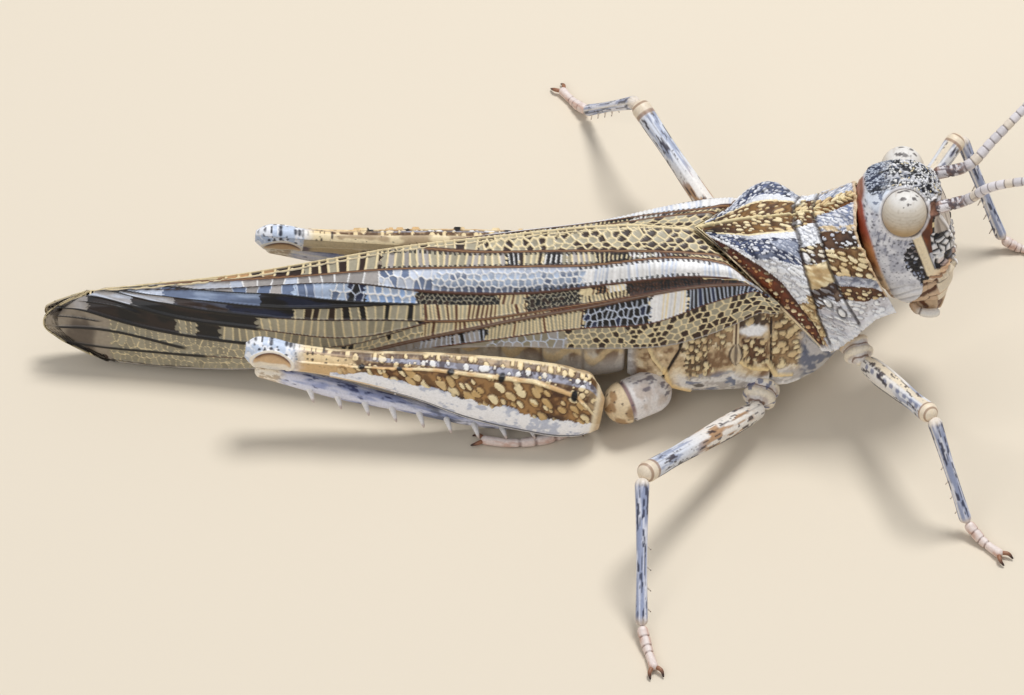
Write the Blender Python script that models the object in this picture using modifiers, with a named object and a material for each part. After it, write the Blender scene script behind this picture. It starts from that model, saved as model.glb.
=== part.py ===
"""Desert grasshopper at rest, life size: one solid for each body part.

Sizes are millimetres in the body frame: X runs from the wing tips to the head, Y to the
animal's left, Z up from the floor. `put` turns them into metres about the middle of the model.
"""

from math import cos, pi, radians, sin

import bmesh
import bpy
import numpy as np
from mathutils import Matrix, Vector

# ---- frame ---------------------------------------------------------------------------------
MM = 0.001
CENTRE_X = 23.844
CENTRE_Y = -0.155
LEAN = radians(5.5)  # the trunk leans a little to its left
LEAN_HEIGHT = 3.0
WELD = 1e-7  # metres
GAP = 0.1  # air between neighbouring parts
SHEET = 0.5  # thickness of wings and of the neck shield

# ---- head ----------------------------------------------------------------------------------
# height, back, front, half width of each level, from the mouth to the crown
HEAD_LEVELS = (
    (5.90, 38.75, 40.95, 1.35),
    (6.30, 38.10, 41.15, 1.75),
    (7.00, 37.55, 41.28, 2.02),
    (8.00, 37.05, 41.18, 2.12),
    (9.00, 36.75, 41.00, 2.08),
    (10.0, 36.60, 40.86, 1.95),
    (10.7, 36.65, 40.55, 1.80),
    (11.3, 36.85, 40.20, 1.50),
    (11.75, 37.25, 39.85, 1.15),
    (12.05, 37.75, 39.50, 0.75),
    (12.17, 38.20, 39.10, 0.35),
)
EYE_AT = (38.58, 1.55, 10.95)
EYE_RADII = (1.02, 0.98, 1.12)
ANTENNA_BASE = (39.95, 1.20, 10.95)
ANTENNA_RADIUS = (0.34, 0.30, 0.27, 0.25)
ANTENNA_RIGHT = ((41.35, 1.25, 11.55), (42.25, 1.85, 12.75), (43.8, 2.45, 13.65), (48.3, 3.9, 14.2))
ANTENNA_LEFT = ((41.5, 1.25, 11.5), (42.6, 1.9, 12.45), (44.3, 3.0, 13.9), (48.0, 5.3, 17.0))
MOUTH_LEVELS = (
    (4.30, 39.70, 40.55, 0.75),
    (4.65, 39.35, 40.80, 1.15),
    (5.20, 39.05, 40.95, 1.35),
    (5.78, 38.90, 41.05, 1.35),
)
PALP_PATH = ((39.35, 1.20, 5.50), (39.70, 1.50, 4.95), (40.40, 1.40, 4.70))
PALP_RADIUS = 0.26

# ---- neck shield (pronotum) ----------------------------------------------------------------
# lines along the shield, each from the hind margin to the front margin
MIDLINE = ((29.25, 0, 8.55), (31.4, 0, 9.12), (33.0, 0, 9.36), (34.2, 0, 9.60), (36.5, 0, 10.7))
INNER = ((30.3, 1.2, 8.52), (32.2, 1.35, 9.25), (34.0, 1.0, 9.45), (35.3, 0.95, 9.95), (36.45, 0.95, 10.5))
SHOULDER = ((31.3, 2.35, 8.25), (32.6, 2.50, 9.18), (34.0, 1.90, 8.95), (35.3, 1.8, 9.4), (36.5, 1.8, 9.95))
FLANK = ((33.2, 3.1, 6.50), (34.2, 3.1, 6.95), (35.2, 2.95, 7.3), (36.2, 2.8, 7.8), (37.2, 2.6, 8.45))
LOWER = ((35.15, 3.35, 4.3), (35.6, 3.35, 4.35), (36.65, 3.3, 5.2), (37.5, 3.15, 6.05), (38.4, 2.9, 6.3))
SHIELD_LINES = (MIDLINE, INNER, SHOULDER, FLANK, LOWER)
SHIELD_LINES_AT = (0.0, 0.25, 0.45, 0.70, 1.0)  # share of the way round to the lower edge

# ---- forewings (tegmina) -------------------------------------------------------------------
WING_X = (-0.6, 1.3, 4.5, 8.5, 12.0, 16.0, 20.5, 25.0, 28.6, 30.2, 33.0)
SEAM_Z = (3.45, 4.05, 4.42, 5.08, 5.92, 6.90, 7.66, 8.34, 8.55, 8.55, 8.55)
CREST_Y = (0.30, 0.42, 0.55, 0.72, 0.86, 1.05, 1.35, 1.68, 2.25, 2.50, 2.80)
CREST_Z = (2.90, 3.40, 3.80, 4.45, 5.25, 6.20, 6.98, 7.55, 8.20, 8.32, 8.20)
EDGE_Y = (0.35, 0.50, 0.85, 1.35, 1.80, 2.35, 2.90, 3.15, 3.38, 3.40, 3.38)
EDGE_Z = (1.30, 0.60, 0.42, 0.72, 1.55, 2.85, 3.75, 3.95, 4.55, 5.25, 7.00)
CREST_AT = 0.32  # share of the wing's width between seam and crest
TIP_ROUND = 2.3
WING_ROOT_X = (29.05, 31.0, 32.4, 32.95)
WING_ROOT_AT = (0.0, 0.32, 0.7, 1.0)
SEAM_GAP = 0.07

# ---- trunk ---------------------------------------------------------------------------------
# along X: position, underside, top, half width
THORAX = (
    (26.35, 1.00, 5.6, 2.2),
    (27.1, 0.70, 6.7, 2.75),
    (28.6, 0.55, 7.5, 3.12),
    (30.4, 0.55, 7.9, 3.15),
    (32.2, 0.60, 8.2, 2.98),
    (34.0, 0.85, 8.4, 2.70),
    (35.4, 1.80, 8.8, 2.35),
    (36.3, 3.40, 9.0, 2.00),
    (36.75, 4.70, 8.8, 1.5),
)
TRUNK_SPREAD = 0.17  # how much wider than its middle the underside is
ABDOMEN = (
    (12.2, 2.20, 3.2, 0.30),
    (13.2, 1.90, 3.7, 0.62),
    (15.0, 1.60, 4.3, 0.95),
    (17.5, 1.25, 5.0, 1.30),
    (20.0, 1.05, 5.6, 1.65),
    (22.5, 0.95, 5.9, 2.10),
    (24.6, 0.95, 6.0, 2.35),
    (26.2, 1.15, 5.9, 2.20),
)

# ---- legs, on the floor frame: hip, knee, ankle, toe of each -------------------------------
HIND_HIP = (25.05, 4.50, 2.05)
HIND_KNEES = {-1: (9.85, 3.85, 4.42), 1: (9.85, 3.72, 4.22)}
HIND_TILT = radians(14.0)
# share of the thigh from the knee, half height, half thickness, drop of the middle
HIND_THIGH = (
    (-0.055, 0.34, 0.22, 0.0),
    (-0.035, 0.62, 0.42, 0.0),
    (0.01, 0.74, 0.52, 0.0),
    (0.07, 0.66, 0.48, 0.0),
    (0.16, 0.66, 0.46, 0.0),
    (0.30, 0.86, 0.55, 0.0),
    (0.46, 1.24, 0.70, 0.0),
    (0.63, 1.60, 0.86, 0.06),
    (0.79, 1.78, 0.95, 0.09),
    (0.91, 1.74, 0.94, 0.10),
    (0.975, 1.44, 0.80, 0.12),
    (1.012, 0.80, 0.42, 0.40),
)
HIND_SHIN = ((10.5, 4.02, 3.15), (15.4, 4.28, 1.87), (20.0, 4.30, 0.64), (23.9, 4.15, 0.42))
HIND_SHIN_RADIUS = (0.36, 0.32, 0.31, 0.34)
SPINES = 8
SPINE_FROM = 0.075
SPINE_TO = 0.745
SPINE_LENGTH = 0.85
SPINE_LOW = 0.68  # spines end no lower than this, above the foot
SPINE_RADIUS = 0.13
HIND_TOE = ((24.0, 4.25, 0.22), (22.7, 4.95, 0.21), (21.2, 5.25, 0.21), (19.7, 5.08, 0.21))
MID_RIGHT = ((27.05, -11.5, 5.15), (27.15, -16.35, 0.55), (27.75, -18.55, 0.25))
MID_LEFT = ((26.6, 12.2, 5.2), (24.2, 16.4, 0.55), (22.9, 18.2, 0.25))
FORE_RIGHT = ((39.95, -7.95, 5.5), (41.7, -9.95, 0.66), (43.25, -11.5, 0.25))
FORE_LEFT = ((41.7, 9.3, 6.2), (44.0, 8.05, 0.66), (45.6, 7.75, 0.25))
THIGH_RADII = (0.42, 0.50, 0.46, 0.40, 0.50)
SHIN_RADII = (0.34, 0.27, 0.26, 0.30)
TOE_RADII = (0.26, 0.28, 0.25, 0.25)
SOLE_DROP = 0.07  # how far the sole is flattened
CLAW_RADIUS = 0.12
LIMB_STEPS = 5
LIMB_BEVEL = 3
COXAE = {  # foot pair: where it leaves the trunk, where it ends, radius
    "fore": ((36.3, 1.80, 4.20), (37.15, 2.95, 3.60), 0.66),
    "mid": ((32.5, 2.40, 2.05), (32.45, 4.00, 2.00), 0.82),
    "hind": ((28.3, 2.95, 1.95), (25.55, 4.25, 1.55), 0.95),
}

# ---- materials -----------------------------------------------------------------------------
COLOURS = {
    "cuticle_pale": (0.80, 0.77, 0.70),
    "cuticle_brown": (0.36, 0.25, 0.15),
    "wing": (0.55, 0.47, 0.36),
    "eye": (0.72, 0.66, 0.55),
    "leg_blue": (0.62, 0.65, 0.74),
    "sand_brown": (0.62, 0.48, 0.30),
    "tarsus": (0.78, 0.64, 0.54),
}
ROUGHNESS = {"eye": 0.15}
PLAIN_ROUGHNESS = 0.55


def collection(name, hidden=False):
    made = bpy.data.collections.new(name)
    made.hide_render = hidden
    bpy.context.scene.collection.children.link(made)
    return made


def material(name):
    found = bpy.data.materials.get(name)
    if found:
        return found
    made = bpy.data.materials.new(name)
    made.use_nodes = True
    shader = made.node_tree.nodes["Principled BSDF"]
    shader.inputs["Base Color"].default_value = (*COLOURS[name.split("__")[0]], 1.0)
    shader.inputs["Roughness"].default_value = ROUGHNESS.get(name.split("__")[0], PLAIN_ROUGHNESS)
    return made


def lean(points):
    """Turns body points about the long axis at LEAN_HEIGHT."""
    p = np.array(points, float).reshape(-1, 3)
    y, z = p[:, 1], p[:, 2] - LEAN_HEIGHT
    turned = np.stack(
        [p[:, 0], cos(LEAN) * y + sin(LEAN) * z, LEAN_HEIGHT - sin(LEAN) * y + cos(LEAN) * z], 1
    )
    return turned


def put(points):
    """Millimetres on the floor frame to metres about the model's middle."""
    return (np.array(points, float) - (CENTRE_X, CENTRE_Y, 0.0)) * MM


def tidy(mesh):
    """Welds caps and sides, and turns all faces outwards."""
    work = bmesh.new()
    work.from_mesh(mesh)
    bmesh.ops.remove_doubles(work, verts=work.verts, dist=WELD)
    bmesh.ops.recalc_face_normals(work, faces=work.faces)
    work.to_mesh(mesh)
    work.free()


def link(name, mesh, slot, cutter=False):
    """Object of this mesh among the parts, or hidden among the cutters."""
    made = bpy.data.objects.new(name, mesh)
    (CUTTERS if cutter else PARTS).objects.link(made)
    mesh.materials.clear()
    if cutter:
        made.hide_render = True
        made.display_type = "WIRE"
    else:
        mesh.materials.append(material(f"{slot}__{name}"))
    return made


def body(name, points, faces, slot, cutter=False):
    mesh = bpy.data.meshes.new(name)
    mesh.from_pydata([tuple(p) for p in put(points)], [], faces)
    tidy(mesh)
    return link(name, mesh, slot, cutter)


def rings(sections, closed_ends=True):
    """Faces that join equal rings one after another, with a fan at each end."""
    count = len(sections[0])
    points = [p for ring in sections for p in ring]
    faces = []
    for i in range(len(sections) - 1):
        for j in range(count):
            k = (j + 1) % count
            a, b = i * count, (i + 1) * count
            faces.append((a + j, a + k, b + k, b + j))
    if closed_ends:
        for ring, start in ((sections[0], 0), (sections[-1], len(points) - count)):
            middle = len(points)
            points.append(np.mean(ring, axis=0))
            faces += [(start + j, start + (j + 1) % count, middle) for j in range(count)]
    return points, faces


def smooth(knots, values, at):
    """Cubic through the values (Catmull and Rom's rule), for a number or an array."""
    knots, values, at = np.array(knots, float), np.array(values, float), np.array(at, float)
    slope = np.gradient(values, knots)
    i = np.clip(np.searchsorted(knots, at) - 1, 0, len(knots) - 2)
    h = knots[i + 1] - knots[i]
    t = np.clip((at - knots[i]) / h, 0.0, 1.0)
    return (
        values[i] * (2 * t**3 - 3 * t**2 + 1)
        + slope[i] * h * (t**3 - 2 * t**2 + t)
        + values[i + 1] * (3 * t**2 - 2 * t**3)
        + slope[i + 1] * h * (t**3 - t**2)
    )


def oval(centre, across, upward, sides, power=2.0):
    """Ring of |a|^power + |b|^power = 1 about centre, a along `across`, b along `upward`."""
    ring = []
    for k in range(sides):
        angle = 2 * pi * k / sides
        a, b = cos(angle), sin(angle)
        a = np.sign(a) * abs(a) ** (2 / power)
        b = np.sign(b) * abs(b) ** (2 / power)
        ring.append(np.array(centre) + a * np.array(across) + b * np.array(upward))
    return ring


def levels(name, table, slot, sides=20, power=2.3, grow=0.0, cutter=False):
    """Stack of flat ovals: each level is a height, its back, its front and its half width."""
    sections = []
    for z, back, front, half in table:
        middle = (back + front) / 2
        sections.append(
            lean(oval((middle, 0, z), ((front - back) / 2 + grow, 0, 0), (0, half + grow, 0), sides, power))
        )
    return body(name, *rings(sections), slot, cutter)


def trunk(name, table, slot, steps=10, sides=20, power=2.7):
    """Upright ovals along X, eased between the table's rows."""
    rows = np.array(table)
    xs = np.linspace(rows[0, 0], rows[-1, 0], steps)
    sections = []
    for x in xs:
        low, top, half = (float(smooth(rows[:, 0], rows[:, k], x)) for k in (1, 2, 3))
        tall = (top - low) / 2
        ring = np.array(oval((x, 0, low + tall), (0, half, 0), (0, 0, tall), sides, power))
        ring[:, 1] *= 1 - TRUNK_SPREAD * (ring[:, 2] - low - tall) / tall
        sections.append(lean(ring))
    return body(name, *rings(sections), slot)


def limb(name, path, radii, slot, floor=None, cutter=False):
    """Round rod: a bevelled curve along the path, radii eased from end to end, tips rounded."""
    path = np.array(path, float)
    lengths = np.concatenate([[0], np.cumsum(np.linalg.norm(np.diff(path, axis=0), axis=1))])
    total = lengths[-1]
    first, last = (min(r, 0.45 * total) for r in (radii[0], radii[-1]))
    steps = LIMB_STEPS if total > 3 * (first + last) else 2
    middle = np.linspace(first, total - last, steps)
    along = np.concatenate([[0.0, 0.3 * first], middle, [total - 0.3 * last, total]])
    curve = bpy.data.curves.new(name, "CURVE")
    curve.dimensions = "3D"
    curve.bevel_depth = MM
    curve.bevel_resolution = LIMB_BEVEL
    curve.use_fill_caps = True
    spline = curve.splines.new("POLY")
    spline.points.add(len(along) - 1)
    for point, s in zip(spline.points, along):
        spot = [np.interp(s, lengths, path[:, k]) for k in range(3)]
        reach = min(s / first, (total - s) / last, 1.0)
        rounding = max(0.3, (1 - (1 - reach) ** 2) ** 0.5)
        point.co = (*put(spot), 1.0)
        point.radius = rounding * float(np.interp(s / total, np.linspace(0, 1, len(radii)), radii))
    guide = bpy.data.objects.new(name, curve)
    CUTTERS.objects.link(guide)
    graph = bpy.context.evaluated_depsgraph_get()
    mesh = bpy.data.meshes.new_from_object(guide.evaluated_get(graph))
    bpy.data.objects.remove(guide)
    tidy(mesh)
    if floor is not None:
        for vert in mesh.vertices:
            vert.co.z = max(vert.co.z, floor)
    return link(name, mesh, slot, cutter)


def join(target, other):
    """Exact union of `other` into `target`."""
    cut(target, other, "UNION")


def cut(target, other, operation="DIFFERENCE"):
    modifier = target.modifiers.new("boolean", "BOOLEAN")
    modifier.operation = operation
    modifier.solver = "EXACT"
    modifier.object = other
    graph = bpy.context.evaluated_depsgraph_get()
    mesh = bpy.data.meshes.new_from_object(target.evaluated_get(graph))
    target.modifiers.remove(modifier)
    slots = [m for m in target.data.materials if m]
    old = target.data
    target.data = mesh
    mesh.name = old.name
    mesh.materials.clear()
    for slot in slots:
        mesh.materials.append(slot)
    bpy.data.meshes.remove(old)
    bpy.data.objects.remove(other)


def spike(name, root, tip, thick, slim, sides=6):
    """Cone frustum from root to tip, ready to be joined to a limb."""
    root, tip = Vector(put(root)), Vector(put(tip))
    heading = tip - root
    turn = heading.to_track_quat("Z", "Y").to_matrix().to_4x4()
    mesh = bpy.data.meshes.new(name)
    work = bmesh.new()
    bmesh.ops.create_cone(
        work,
        cap_ends=True,
        segments=sides,
        radius1=thick * MM,
        radius2=slim * MM,
        depth=heading.length,
        matrix=Matrix.Translation((root + tip) / 2) @ turn,
    )
    work.to_mesh(mesh)
    work.free()
    return link(name, mesh, None, cutter=True)


def ball(name, centre, radii, slot=None, cutter=False):
    """Ellipsoid that leans with the trunk."""
    mesh = bpy.data.meshes.new(name)
    work = bmesh.new()
    bmesh.ops.create_uvsphere(work, u_segments=18, v_segments=10, radius=1.0)
    points = lean([np.array(centre) + np.array(v.co) * np.array(radii) for v in work.verts])
    for vert, place in zip(work.verts, put(points)):
        vert.co = place
    work.to_mesh(mesh)
    work.free()
    return link(name, mesh, slot, cutter)


def widened(grid, by):
    """The grid with its four margins pushed outwards along the surface."""
    wide = grid.copy()
    for edge, inner in ((0, 1), (-1, -2)):
        for target, source in ((wide, grid), (wide.swapaxes(0, 1), grid.swapaxes(0, 1))):
            away = source[edge] - source[inner]
            target[edge] += by * away / np.linalg.norm(away, axis=-1, keepdims=True)
    return wide


def sheet(name, grid, slot, thickness=SHEET, grow=0.0, cutter=False):
    """Grid of body points (rows by columns by 3) thickened inwards."""
    grid = widened(grid, grow) if grow else grid
    rows, columns = grid.shape[:2]
    faces = [
        (i * columns + j, (i + 1) * columns + j, (i + 1) * columns + j + 1, i * columns + j + 1)
        for i in range(rows - 1)
        for j in range(columns - 1)
    ]
    open_mesh = bpy.data.meshes.new(name)
    open_mesh.from_pydata([tuple(p) for p in put(lean(grid.reshape(-1, 3)))], [], faces)
    guide = bpy.data.objects.new(name, open_mesh)
    CUTTERS.objects.link(guide)
    solidify = guide.modifiers.new("thickness", "SOLIDIFY")
    solidify.thickness = thickness * MM
    solidify.offset = 2.0 * grow / thickness - 1.0
    graph = bpy.context.evaluated_depsgraph_get()
    mesh = bpy.data.meshes.new_from_object(guide.evaluated_get(graph))
    bpy.data.objects.remove(guide)
    tidy(mesh)
    return link(name, mesh, slot, cutter)


def side(points, sign):
    """The same point or points on the left (1) or the right (-1)."""
    p = np.array(points, float)
    p[..., 1] *= sign
    return p


def shield_grid(rows=10, half=8):
    """Saddle over the neck: from the hind margin (s=0) to the front margin (s=1)."""
    s = np.linspace(0, 1, rows)
    lines = []
    for line in SHIELD_LINES:
        knots = np.array(line)
        x = knots[0, 0] + (knots[-1, 0] - knots[0, 0]) * s
        lines.append(np.stack([x, *(smooth(knots[:, 0], knots[:, k], x) for k in (1, 2))], -1))
    lines = np.array(lines)
    u = np.linspace(-1, 1, 2 * half + 1)
    grid = np.zeros((rows, len(u), 3))
    for i in range(rows):
        for k in range(3):
            grid[i, :, k] = smooth(SHIELD_LINES_AT, lines[:, i, k], np.abs(u))
    grid[..., 1] *= np.sign(u)
    return grid


def wing_grid(rows=18, columns=9):
    """Left forewing: row 0 at the tip, column 0 at the seam, last column at the outer edge."""
    a = np.linspace(0, 1, columns)
    tip = WING_X[0] + TIP_ROUND * np.abs(2 * a - 0.9) ** 2.4
    root = smooth(WING_ROOT_AT, WING_ROOT_X, a)
    s = np.linspace(0, 1, rows)[:, None]
    s = s**1.15
    x = tip * (1 - s) + root * s
    seam = np.stack([np.zeros_like(x), smooth(WING_X, SEAM_Z, x)], -1)
    crest = np.stack([smooth(WING_X, CREST_Y, x), smooth(WING_X, CREST_Z, x)], -1)
    edge = np.stack([smooth(WING_X, EDGE_Y, x), smooth(WING_X, EDGE_Z, x)], -1)
    t = a / CREST_AT
    v = (a - CREST_AT) / (1 - CREST_AT)
    top = seam * (1 - t)[:, None] + crest * t[:, None]
    flank = crest * (1 - v)[:, None] + edge * v[:, None]
    flank[..., 0] += (0.18 * np.sin(pi * np.clip(v, 0, 1)))[None, :]
    yz = np.where((a < CREST_AT)[None, :, None], top, flank)
    return np.concatenate([x[..., None], yz], -1)


def wing(name, sign, slot):
    """Forewing sheet, trimmed to its own side of the seam."""
    made = sheet(name, side(wing_grid(), sign), slot)
    reach = 60.0
    corners = [
        (x, sign * y, z)
        for x in (-reach, reach)
        for y in (SEAM_GAP, -reach)
        for z in (-reach, reach)
    ]
    mesh = bpy.data.meshes.new(name + "_trim")
    work = bmesh.new()
    bmesh.ops.convex_hull(work, input=[work.verts.new(p) for p in put(lean(corners))])
    bmesh.ops.recalc_face_normals(work, faces=work.faces)
    work.to_mesh(mesh)
    work.free()
    cut(made, link(name + "_trim", mesh, None, cutter=True))
    return made


def hind_thigh(name, sign, grow=0.0, cutter=False):
    """Tall, flat thigh: thick near the hip, slim before the knee."""
    knee, hip = side(HIND_KNEES[sign], sign), side(HIND_HIP, sign)
    axis = hip - knee
    upward = np.array([0, -sign * sin(HIND_TILT), cos(HIND_TILT)])
    along = axis / np.linalg.norm(axis)
    upward = upward - along * upward.dot(along)
    upward /= np.linalg.norm(upward)
    across = np.cross(upward, along)
    rows = np.array(HIND_THIGH)
    sections = []
    for share, tall, thick, drop in rows:
        spot = knee + axis * share - upward * drop
        sections.append(oval(spot, across * (thick + grow), upward * (tall + grow), 16))
    return body(name, *rings(sections), "sand_brown", cutter)


def hind_shin(name, sign):
    path = side(HIND_SHIN, sign)
    made = limb(name, path, HIND_SHIN_RADIUS, "leg_blue")
    lengths = np.concatenate([[0], np.cumsum(np.linalg.norm(np.diff(path, axis=0), axis=1))])
    for n in range(SPINES):
        share = SPINE_FROM + (SPINE_TO - SPINE_FROM) * n / (SPINES - 1)
        at = np.array([np.interp(share * lengths[-1], lengths, path[:, k]) for k in range(3)])
        root = at + (0.0, sign * 0.12, -0.05)
        reach = np.array([0.32, sign * 0.86, -0.30])
        reach[2] = -min(0.30, (at[2] - SPINE_LOW) / SPINE_LENGTH)
        tip = root + reach * SPINE_LENGTH
        cone = spike(f"{name}_spine_{n}", root - reach * 0.1, tip, SPINE_RADIUS, SPINE_RADIUS * 0.4)
        join(made, cone)
    return made


def far_end(a, b, back):
    """Point `back` short of b on the way from a."""
    a, b = np.array(a, float), np.array(b, float)
    return b + (a - b) / np.linalg.norm(a - b) * back


def clear(target, path, radii):
    """Hollows the target where a rod of this path and these radii needs room."""
    path = [far_end(path[1], path[0], -GAP), *path[1:-1], far_end(path[-2], path[-1], -GAP)]
    room = limb(target.name + "_room", path, [r + GAP for r in radii], None, cutter=True)
    cut(target, room)


def walking_leg(which, label, sign, joints):
    """Thigh, shin and foot of a fore or mid leg, each hollowed round the one before it."""
    knee, ankle, toe = (np.array(p, float) for p in joints)
    root, hip, radius = COXAE[which]
    coxa = side((root, hip), sign)
    thigh = (coxa[1], knee)
    upper = limb(f"{which}_femur_{label}", thigh, THIGH_RADII, "leg_blue")
    clear(upper, coxa, (radius, radius))
    shin = (far_end(thigh[0], knee, THIGH_RADII[-1]), ankle)
    lower = limb(f"{which}_tibia_{label}", shin, SHIN_RADII, "leg_blue")
    clear(lower, thigh, THIGH_RADII)
    made = foot(f"{which}_tarsus_{label}", [ankle, ankle * 0.5 + toe * 0.5, toe])
    clear(made, shin, SHIN_RADII)


def foot(name, path):
    """Foot with two claws and a flat sole."""
    path = np.array(path, float)
    path[1:, 2] = TOE_RADII[1] - SOLE_DROP
    made = limb(name, path, TOE_RADII, "tarsus", floor=0.0)
    heading = path[-1] - path[-2]
    heading[2] = 0
    heading /= np.linalg.norm(heading)
    across = np.array([-heading[1], heading[0], 0.0])
    for k in (-1, 1):
        base = path[-1] - heading * 0.15 + across * 0.08 * k
        tip = path[-1] + heading * 0.42 + across * 0.30 * k
        tip[2] = 0.13
        join(made, spike(f"{name}_claw_{k}", base, tip, CLAW_RADIUS, CLAW_RADIUS * 0.6))
    return made


def hind_leg(label, sign):
    hind_thigh(f"hind_femur_{label}", sign)
    shin = hind_shin(f"hind_tibia_{label}", sign)
    cut(shin, hind_thigh(f"thigh_room_{label}", sign, GAP, cutter=True))
    made = foot(f"hind_tarsus_{label}", side(HIND_TOE, sign))
    clear(made, side(HIND_SHIN, sign), HIND_SHIN_RADIUS)


for old in list(bpy.data.objects):
    bpy.data.objects.remove(old)
PARTS = collection("desert_grasshopper")
CUTTERS = collection("cutters", hidden=True)

head = levels("head", HEAD_LEVELS, "cuticle_pale")
mouth = levels("mouthparts", MOUTH_LEVELS, "sand_brown", sides=16)
for label, sign in (("left", 1), ("right", -1)):
    ball(f"eye_{label}", side(EYE_AT, sign), EYE_RADII, "eye")
    cut(head, ball(f"socket_{label}", side(EYE_AT, sign), np.array(EYE_RADII) + GAP, cutter=True))
    feeler = ANTENNA_LEFT if sign > 0 else ANTENNA_RIGHT
    feeler = lean(side((ANTENNA_BASE, *feeler), sign))
    limb(f"antenna_{label}", feeler, ANTENNA_RADIUS, "cuticle_pale")
    pit = [far_end(feeler[1], feeler[0], -GAP), feeler[1]]
    cut(head, limb(f"pit_{label}", pit, [r + GAP for r in ANTENNA_RADIUS[:2]], None, cutter=True))
    limb(f"palp_{label}", lean(side(PALP_PATH, sign)), [PALP_RADIUS] * 3, "sand_brown")
    palp_room = lean(side(PALP_PATH, sign))
    clear(mouth, palp_room, [PALP_RADIUS] * 3)

shield = sheet("pronotum", shield_grid(), "cuticle_brown")
cut(shield, levels("head_room", HEAD_LEVELS, None, grow=GAP, cutter=True))
for made in (wing("tegmen_left", 1, "wing"), wing("tegmen_right", -1, "wing")):
    cut(made, sheet("shield_room", shield_grid(), None, SHEET + 2 * GAP, GAP, cutter=True))
trunk("abdomen", ABDOMEN, "cuticle_pale")
thorax = trunk("thorax", THORAX, "sand_brown", steps=12)
for label, sign in (("left", 1), ("right", -1)):
    for which, (root, stop, radius) in COXAE.items():
        ends = side((root, stop), sign)
        limb(f"{which}_coxa_{label}", ends, (radius, radius), "sand_brown")
        clear(thorax, ends, (radius, radius))
    hind_leg(label, sign)
for sign in (1, -1):
    room = sheet(f"wing_room_{sign}", side(wing_grid(), sign), None, SHEET + 2 * GAP, GAP, cutter=True)
    cut(thorax, room)
walking_leg("mid", "right", -1, MID_RIGHT)
walking_leg("mid", "left", 1, MID_LEFT)
walking_leg("fore", "right", -1, FORE_RIGHT)
walking_leg("fore", "left", 1, FORE_LEFT)

low = np.full(3, 1e9)
high = -low
for part in PARTS.objects:
    corners = np.array([v.co for v in part.data.vertices])
    low = np.minimum(low, corners.min(0))
    high = np.maximum(high, corners.max(0))
    part.data.polygons.foreach_set("use_smooth", [True] * len(part.data.polygons))
    part.data.set_sharp_from_angle(angle=radians(40))
print("box mm", np.round(low / MM, 3), np.round(high / MM, 3), "parts", len(PARTS.objects))
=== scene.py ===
# %% [markdown]
# # Desert grasshopper, life size
# A sand-living band-winged grasshopper rests on a plain pale floor. Its colours are a mosaic:
# every plate of the body carries hundreds of little grains, and every cell of the wing net has
# a tone of its own. A texture painted by hand could hold that, but it would be one flat
# picture. Here each plate is a surface worked out with numpy, and the same formula that
# raises a vein or a grain also gives its colour, so relief and marking always agree.

from math import cos, pi, radians, sin

import bmesh
import bpy
import numpy as np
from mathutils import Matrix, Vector


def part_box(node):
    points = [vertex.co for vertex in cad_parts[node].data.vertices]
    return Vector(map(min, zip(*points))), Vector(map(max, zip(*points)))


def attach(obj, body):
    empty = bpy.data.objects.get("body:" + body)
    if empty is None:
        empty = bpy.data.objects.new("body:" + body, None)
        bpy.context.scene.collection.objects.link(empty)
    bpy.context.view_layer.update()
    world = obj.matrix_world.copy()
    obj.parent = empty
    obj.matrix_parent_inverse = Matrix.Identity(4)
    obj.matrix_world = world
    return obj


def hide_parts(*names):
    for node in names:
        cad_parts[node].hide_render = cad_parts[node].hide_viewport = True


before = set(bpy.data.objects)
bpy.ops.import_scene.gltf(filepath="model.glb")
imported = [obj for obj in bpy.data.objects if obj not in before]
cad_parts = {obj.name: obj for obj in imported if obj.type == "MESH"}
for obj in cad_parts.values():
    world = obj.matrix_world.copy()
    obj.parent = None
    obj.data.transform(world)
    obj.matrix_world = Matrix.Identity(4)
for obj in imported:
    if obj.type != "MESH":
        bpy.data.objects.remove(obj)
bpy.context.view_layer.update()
print("frame nodes:", len(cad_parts))

# %% [markdown]
# ## Two frames of reference
# The trunk is drawn upright and mirror-symmetric in millimetres, X forwards, Y to the left,
# Z up from the floor, and then leans a little towards the far side, as the animal does. The
# legs stand straight on the floor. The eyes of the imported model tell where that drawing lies.

# %% From drawing millimetres to scene metres
MM = 0.001
LEAN = radians(5.5)
LEAN_HEIGHT = 3.0
EYE_AT = np.array((38.58, 1.55, 10.95))
RIGHT_HAND = np.array((1.0, -1.0, 1.0))


def lean(points):
    """Turns drawing points about the long axis at LEAN_HEIGHT."""
    p = np.asarray(points, float)
    y, z = p[..., 1], p[..., 2] - LEAN_HEIGHT
    turned = (p[..., 0], cos(LEAN) * y + sin(LEAN) * z, LEAN_HEIGHT - sin(LEAN) * y + cos(LEAN) * z)
    return np.stack(turned, -1)


eye_low, eye_high = (np.array(corner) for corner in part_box("eye_right"))
ORIGIN = lean(EYE_AT * RIGHT_HAND) - (eye_low + eye_high) / 2 / MM
print("drawing origin, mm:", np.round(ORIGIN, 3))


def put(points):
    """Drawing millimetres, already leaning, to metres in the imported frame."""
    return (np.asarray(points, float) - ORIGIN) * MM


# %% [markdown]
# ## Chance that never changes
# Nature's irregularity needs random numbers, but the same ones at each run. A hash gives a
# fixed share of one for each pair of whole numbers; noise eases between such shares.

# %% Hash, noise and eased steps
def share(i, j, seed=0.0):
    """Fraction of sin(127.1 i + 311.7 j + 74.7 seed) times 43758.5453."""
    h = np.sin(i * 127.1 + j * 311.7 + seed * 74.7) * 43758.5453
    return h - np.floor(h)


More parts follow.
